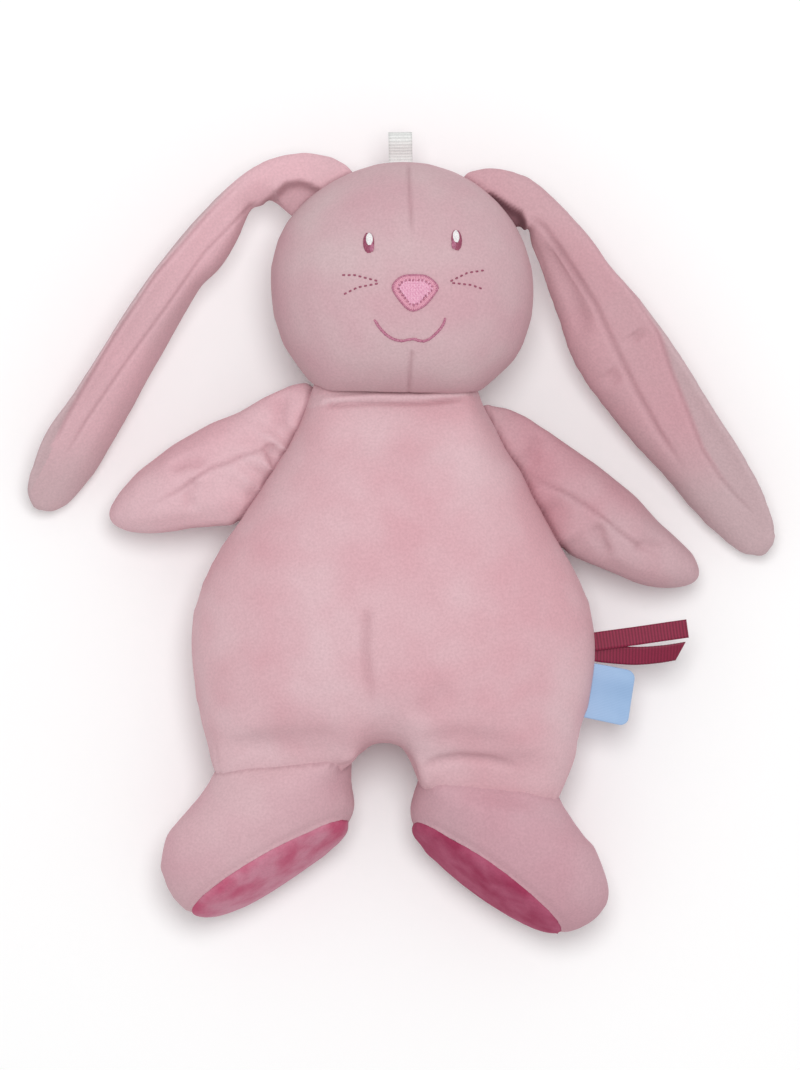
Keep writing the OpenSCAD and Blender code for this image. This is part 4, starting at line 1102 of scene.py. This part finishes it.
LOOP_W, LOOP_HALF, LOOP_BEND = 0.0092, 0.0030, 0.0071  # width, half opening, place of the bend
LOOP_FOOT, LOOP_SEWN = 0.0005, 0.006  # half gap at the seam, and length sewn into the seam
LOOP_SEAT = np.array([0.0026, 0.1680, HEAD_SEAM_Z])
loop_out, loop_across = np.array([-0.0175, 0.9998, 0]), np.array([0.9998, 0.0175, 0])
leg = [(d, LOOP_FOOT + (LOOP_HALF - LOOP_FOOT) * smooth_step(0, LOOP_BEND, d))
       for d in np.linspace(-LOOP_SEWN, LOOP_BEND, 20)]
bend = [(LOOP_BEND + LOOP_HALF * math.sin(a), LOOP_HALF * math.cos(a))
        for a in np.linspace(0, math.pi, 22)]
loop_line = [LOOP_SEAT + loop_out * d + np.array([0, 0, h])
             for d, h in leg + bend[1:-1] + [(d, -h) for d, h in reversed(leg)]]
hang_loop = strip("hang_loop_ribbon", loop_line, (loop_across, loop_across), LOOP_W)
hang_loop.data.materials.append(grosgrain("white grosgrain ribbon", "#ecedeb", "#cdcecc"))
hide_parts("hang_loop")
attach(hang_loop, "hang_loop")

# Side ribbon: a short length of raspberry grosgrain folded in two in the side seam, so that
# two free tails show, one over the other; the lower one twists and is cut on the slant.
RIBBON_W = 0.0072
TAIL_SLANT = 0.0034  # how much longer one edge of the lower tail is
UPPER_TAIL = [(0.0750, -0.0206, 0.0363), (0.0840, -0.0193, 0.0366), (0.0950, -0.0178, 0.0370),
              (0.1060, -0.0162, 0.0366), (0.1145, -0.0150, 0.0358)]
LOWER_TAIL = [(0.0750, -0.0239, 0.0352), (0.0840, -0.0250, 0.0349), (0.0945, -0.0257, 0.0344),
              (0.1045, -0.0250, 0.0340), (0.1118, -0.0238, 0.0340)]
upper_tail = strip("side_ribbon_tails", rounded_line(UPPER_TAIL, 12),
                   ((-0.14, 0.99, 0), (-0.14, 0.99, 0.06)), RIBBON_W)
strip("side_ribbon_lower_tail", rounded_line(LOWER_TAIL, 12), ((0, 1, 0), (0.05, 0.85, 0.45)),
      RIBBON_W, TAIL_SLANT)
upper_tail.select_set(True)
bpy.context.view_layer.objects.active = upper_tail
bpy.ops.object.join()
upper_tail.data.materials.append(grosgrain("raspberry grosgrain ribbon", "#8f2444", "#5c1228"))
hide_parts("side_ribbon")
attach(upper_tail, "side_ribbon")

# Side label: a blank tab of blue polyester satin, folded double, its free corners rounded
# and its raw edge caught in the side seam below the ribbon.
LABEL_CORNERS = np.array([(0.0738, -0.0277), (0.0943, -0.0317), (0.0910, -0.0533), (0.0706, -0.0489)])
LABEL_ROUND = (0.17, 0.15)  # share of the width and of the height that a round corner takes
LABEL_T, LABEL_EDGE = 0.0008, 0.00025  # thickness, and how its edges are softened
LABEL_Z, LABEL_DROOP, LABEL_WAVE = 0.0361, 0.0016, 0.0005  # it droops and waves towards its free edge
bpy.ops.object.select_all(action="DESELECT")
bpy.ops.mesh.primitive_grid_add(x_subdivisions=36, y_subdivisions=40, size=1)
label = bpy.context.object
label.name = label.data.name = "side_label_tab"
u, v = points_of(label)[:, 0] + 0.5, points_of(label)[:, 1] + 0.5
a = np.clip((u - 1) / LABEL_ROUND[0] + 1, 0, 1)
b = np.clip((abs(v - 0.5) - 0.5) / LABEL_ROUND[1] + 1, 0, 1)
corner = (a > 0) & (b > 0)
u = np.where(corner, 1 + LABEL_ROUND[0] * (a * np.sqrt(1 - b**2 / 2) - 1), u)
v = np.where(corner, 0.5 + np.sign(v - 0.5) * (0.5 + LABEL_ROUND[1] * (b * np.sqrt(1 - a**2 / 2) - 1)), v)
plan = (np.outer((1 - u) * (1 - v), LABEL_CORNERS[0]) + np.outer(u * (1 - v), LABEL_CORNERS[1])
        + np.outer(u * v, LABEL_CORNERS[2]) + np.outer((1 - u) * v, LABEL_CORNERS[3]))
rise = LABEL_Z - LABEL_DROOP * u**2 + LABEL_WAVE * u * np.sin(2.6 * math.pi * v)
move_points(label, np.column_stack([plan, rise]))
finish_with(label, "SOLIDIFY", thickness=LABEL_T, offset=0)
finish_with(label, "BEVEL", width=LABEL_EDGE, segments=2)
edit(label, bpy.ops.mesh.normals_make_consistent, inside=False)
bpy.ops.object.shade_smooth()


def satin(name, colour, deep):
    """Polyester satin: long floats give a smooth, slightly silky face with faint lines across."""
    cloth, shader, place = plain_cloth(name, 0.4, 0.35)
    # Floats are about 0.15 mm apart; drawn at 0.6 mm so that they show (a wave is 0.314 / Scale long)
    turned = add_node(cloth, "ShaderNodeMapping", {"Vector": place, "Rotation": (0, 0, math.radians(10))})
    weave = add_node(cloth, "ShaderNodeTexWave", {"Vector": turned.outputs["Vector"],
                     "Scale": 0.314 / 0.0006, "Distortion": 1.5, "Detail": 1}, bands_direction="Y")
    lines = add_node(cloth, "ShaderNodeMath", {0: weave.outputs["Fac"], 1: cloudy(cloth, place, 0.006, 2)},
                     operation="MULTIPLY").outputs["Value"]
    woven = mixed(cloth, lines, linear(colour), linear(deep))
    cloth.node_tree.links.new(woven, shader.inputs["Base Color"])
    return cloth


label.data.materials.append(satin("blue polyester satin", "#98b6da", "#86a5cd"))
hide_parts("side_label")
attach(label, "side_label")

# Photographer's table: a plain white sweep that the toy lies on, a broad soft light above
# and an even white surround.
bpy.ops.object.select_all(action="DESELECT")
bpy.ops.mesh.primitive_plane_add(size=30, location=(0, 0, -0.0004))
floor = bpy.context.object
floor.name = "floor"
bpy.ops.object.transform_apply(location=True)
paper = bpy.data.materials.new("white paper sweep")
paper.use_nodes = True
paper_shader = paper.node_tree.nodes["Principled BSDF"]
paper_shader.inputs["Base Color"].default_value = linear("#fdfdfd")
paper_shader.inputs["Roughness"].default_value = 0.9
paper_shader.inputs["Specular IOR Level"].default_value = 0.1
floor.data.materials.append(paper)
floor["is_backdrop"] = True

surround = bpy.data.worlds.new("white surround")
bpy.context.scene.world = surround
surround.use_nodes = True
surround.node_tree.nodes["Background"].inputs["Color"].default_value = (1, 1, 1, 1)
surround.node_tree.nodes["Background"].inputs["Strength"].default_value = 0.62


def soft_light(name, place, size, power):
    """A round softbox that shines on the toy."""
    lamp = bpy.data.lights.new(name, "AREA")
    lamp.shape = "DISK"
    lamp.size = size
    lamp.energy = power
    light = bpy.data.objects.new(name, lamp)
    light.location = place
    light.rotation_euler = (-Vector(place)).to_track_quat("-Z", "Y").to_euler()
    bpy.context.collection.objects.link(light)


soft_light("overhead softbox", (0.06, 0.28, 1.62), 0.7, 12.3)

# Camera straight above the toy, far off with a long lens, as the photograph was taken
camera = bpy.data.objects.new("camera", bpy.data.cameras.new("camera"))
camera.data.sensor_fit = "VERTICAL"
camera.data.sensor_height = 36
camera.data.lens = 255.7
camera.data.clip_end = 30
camera.location = (0.00234, 0.02145, 3.0)
bpy.context.collection.objects.link(camera)
bpy.context.scene.camera = camera
bpy.context.scene.view_settings.view_transform = "Standard"

low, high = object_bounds()
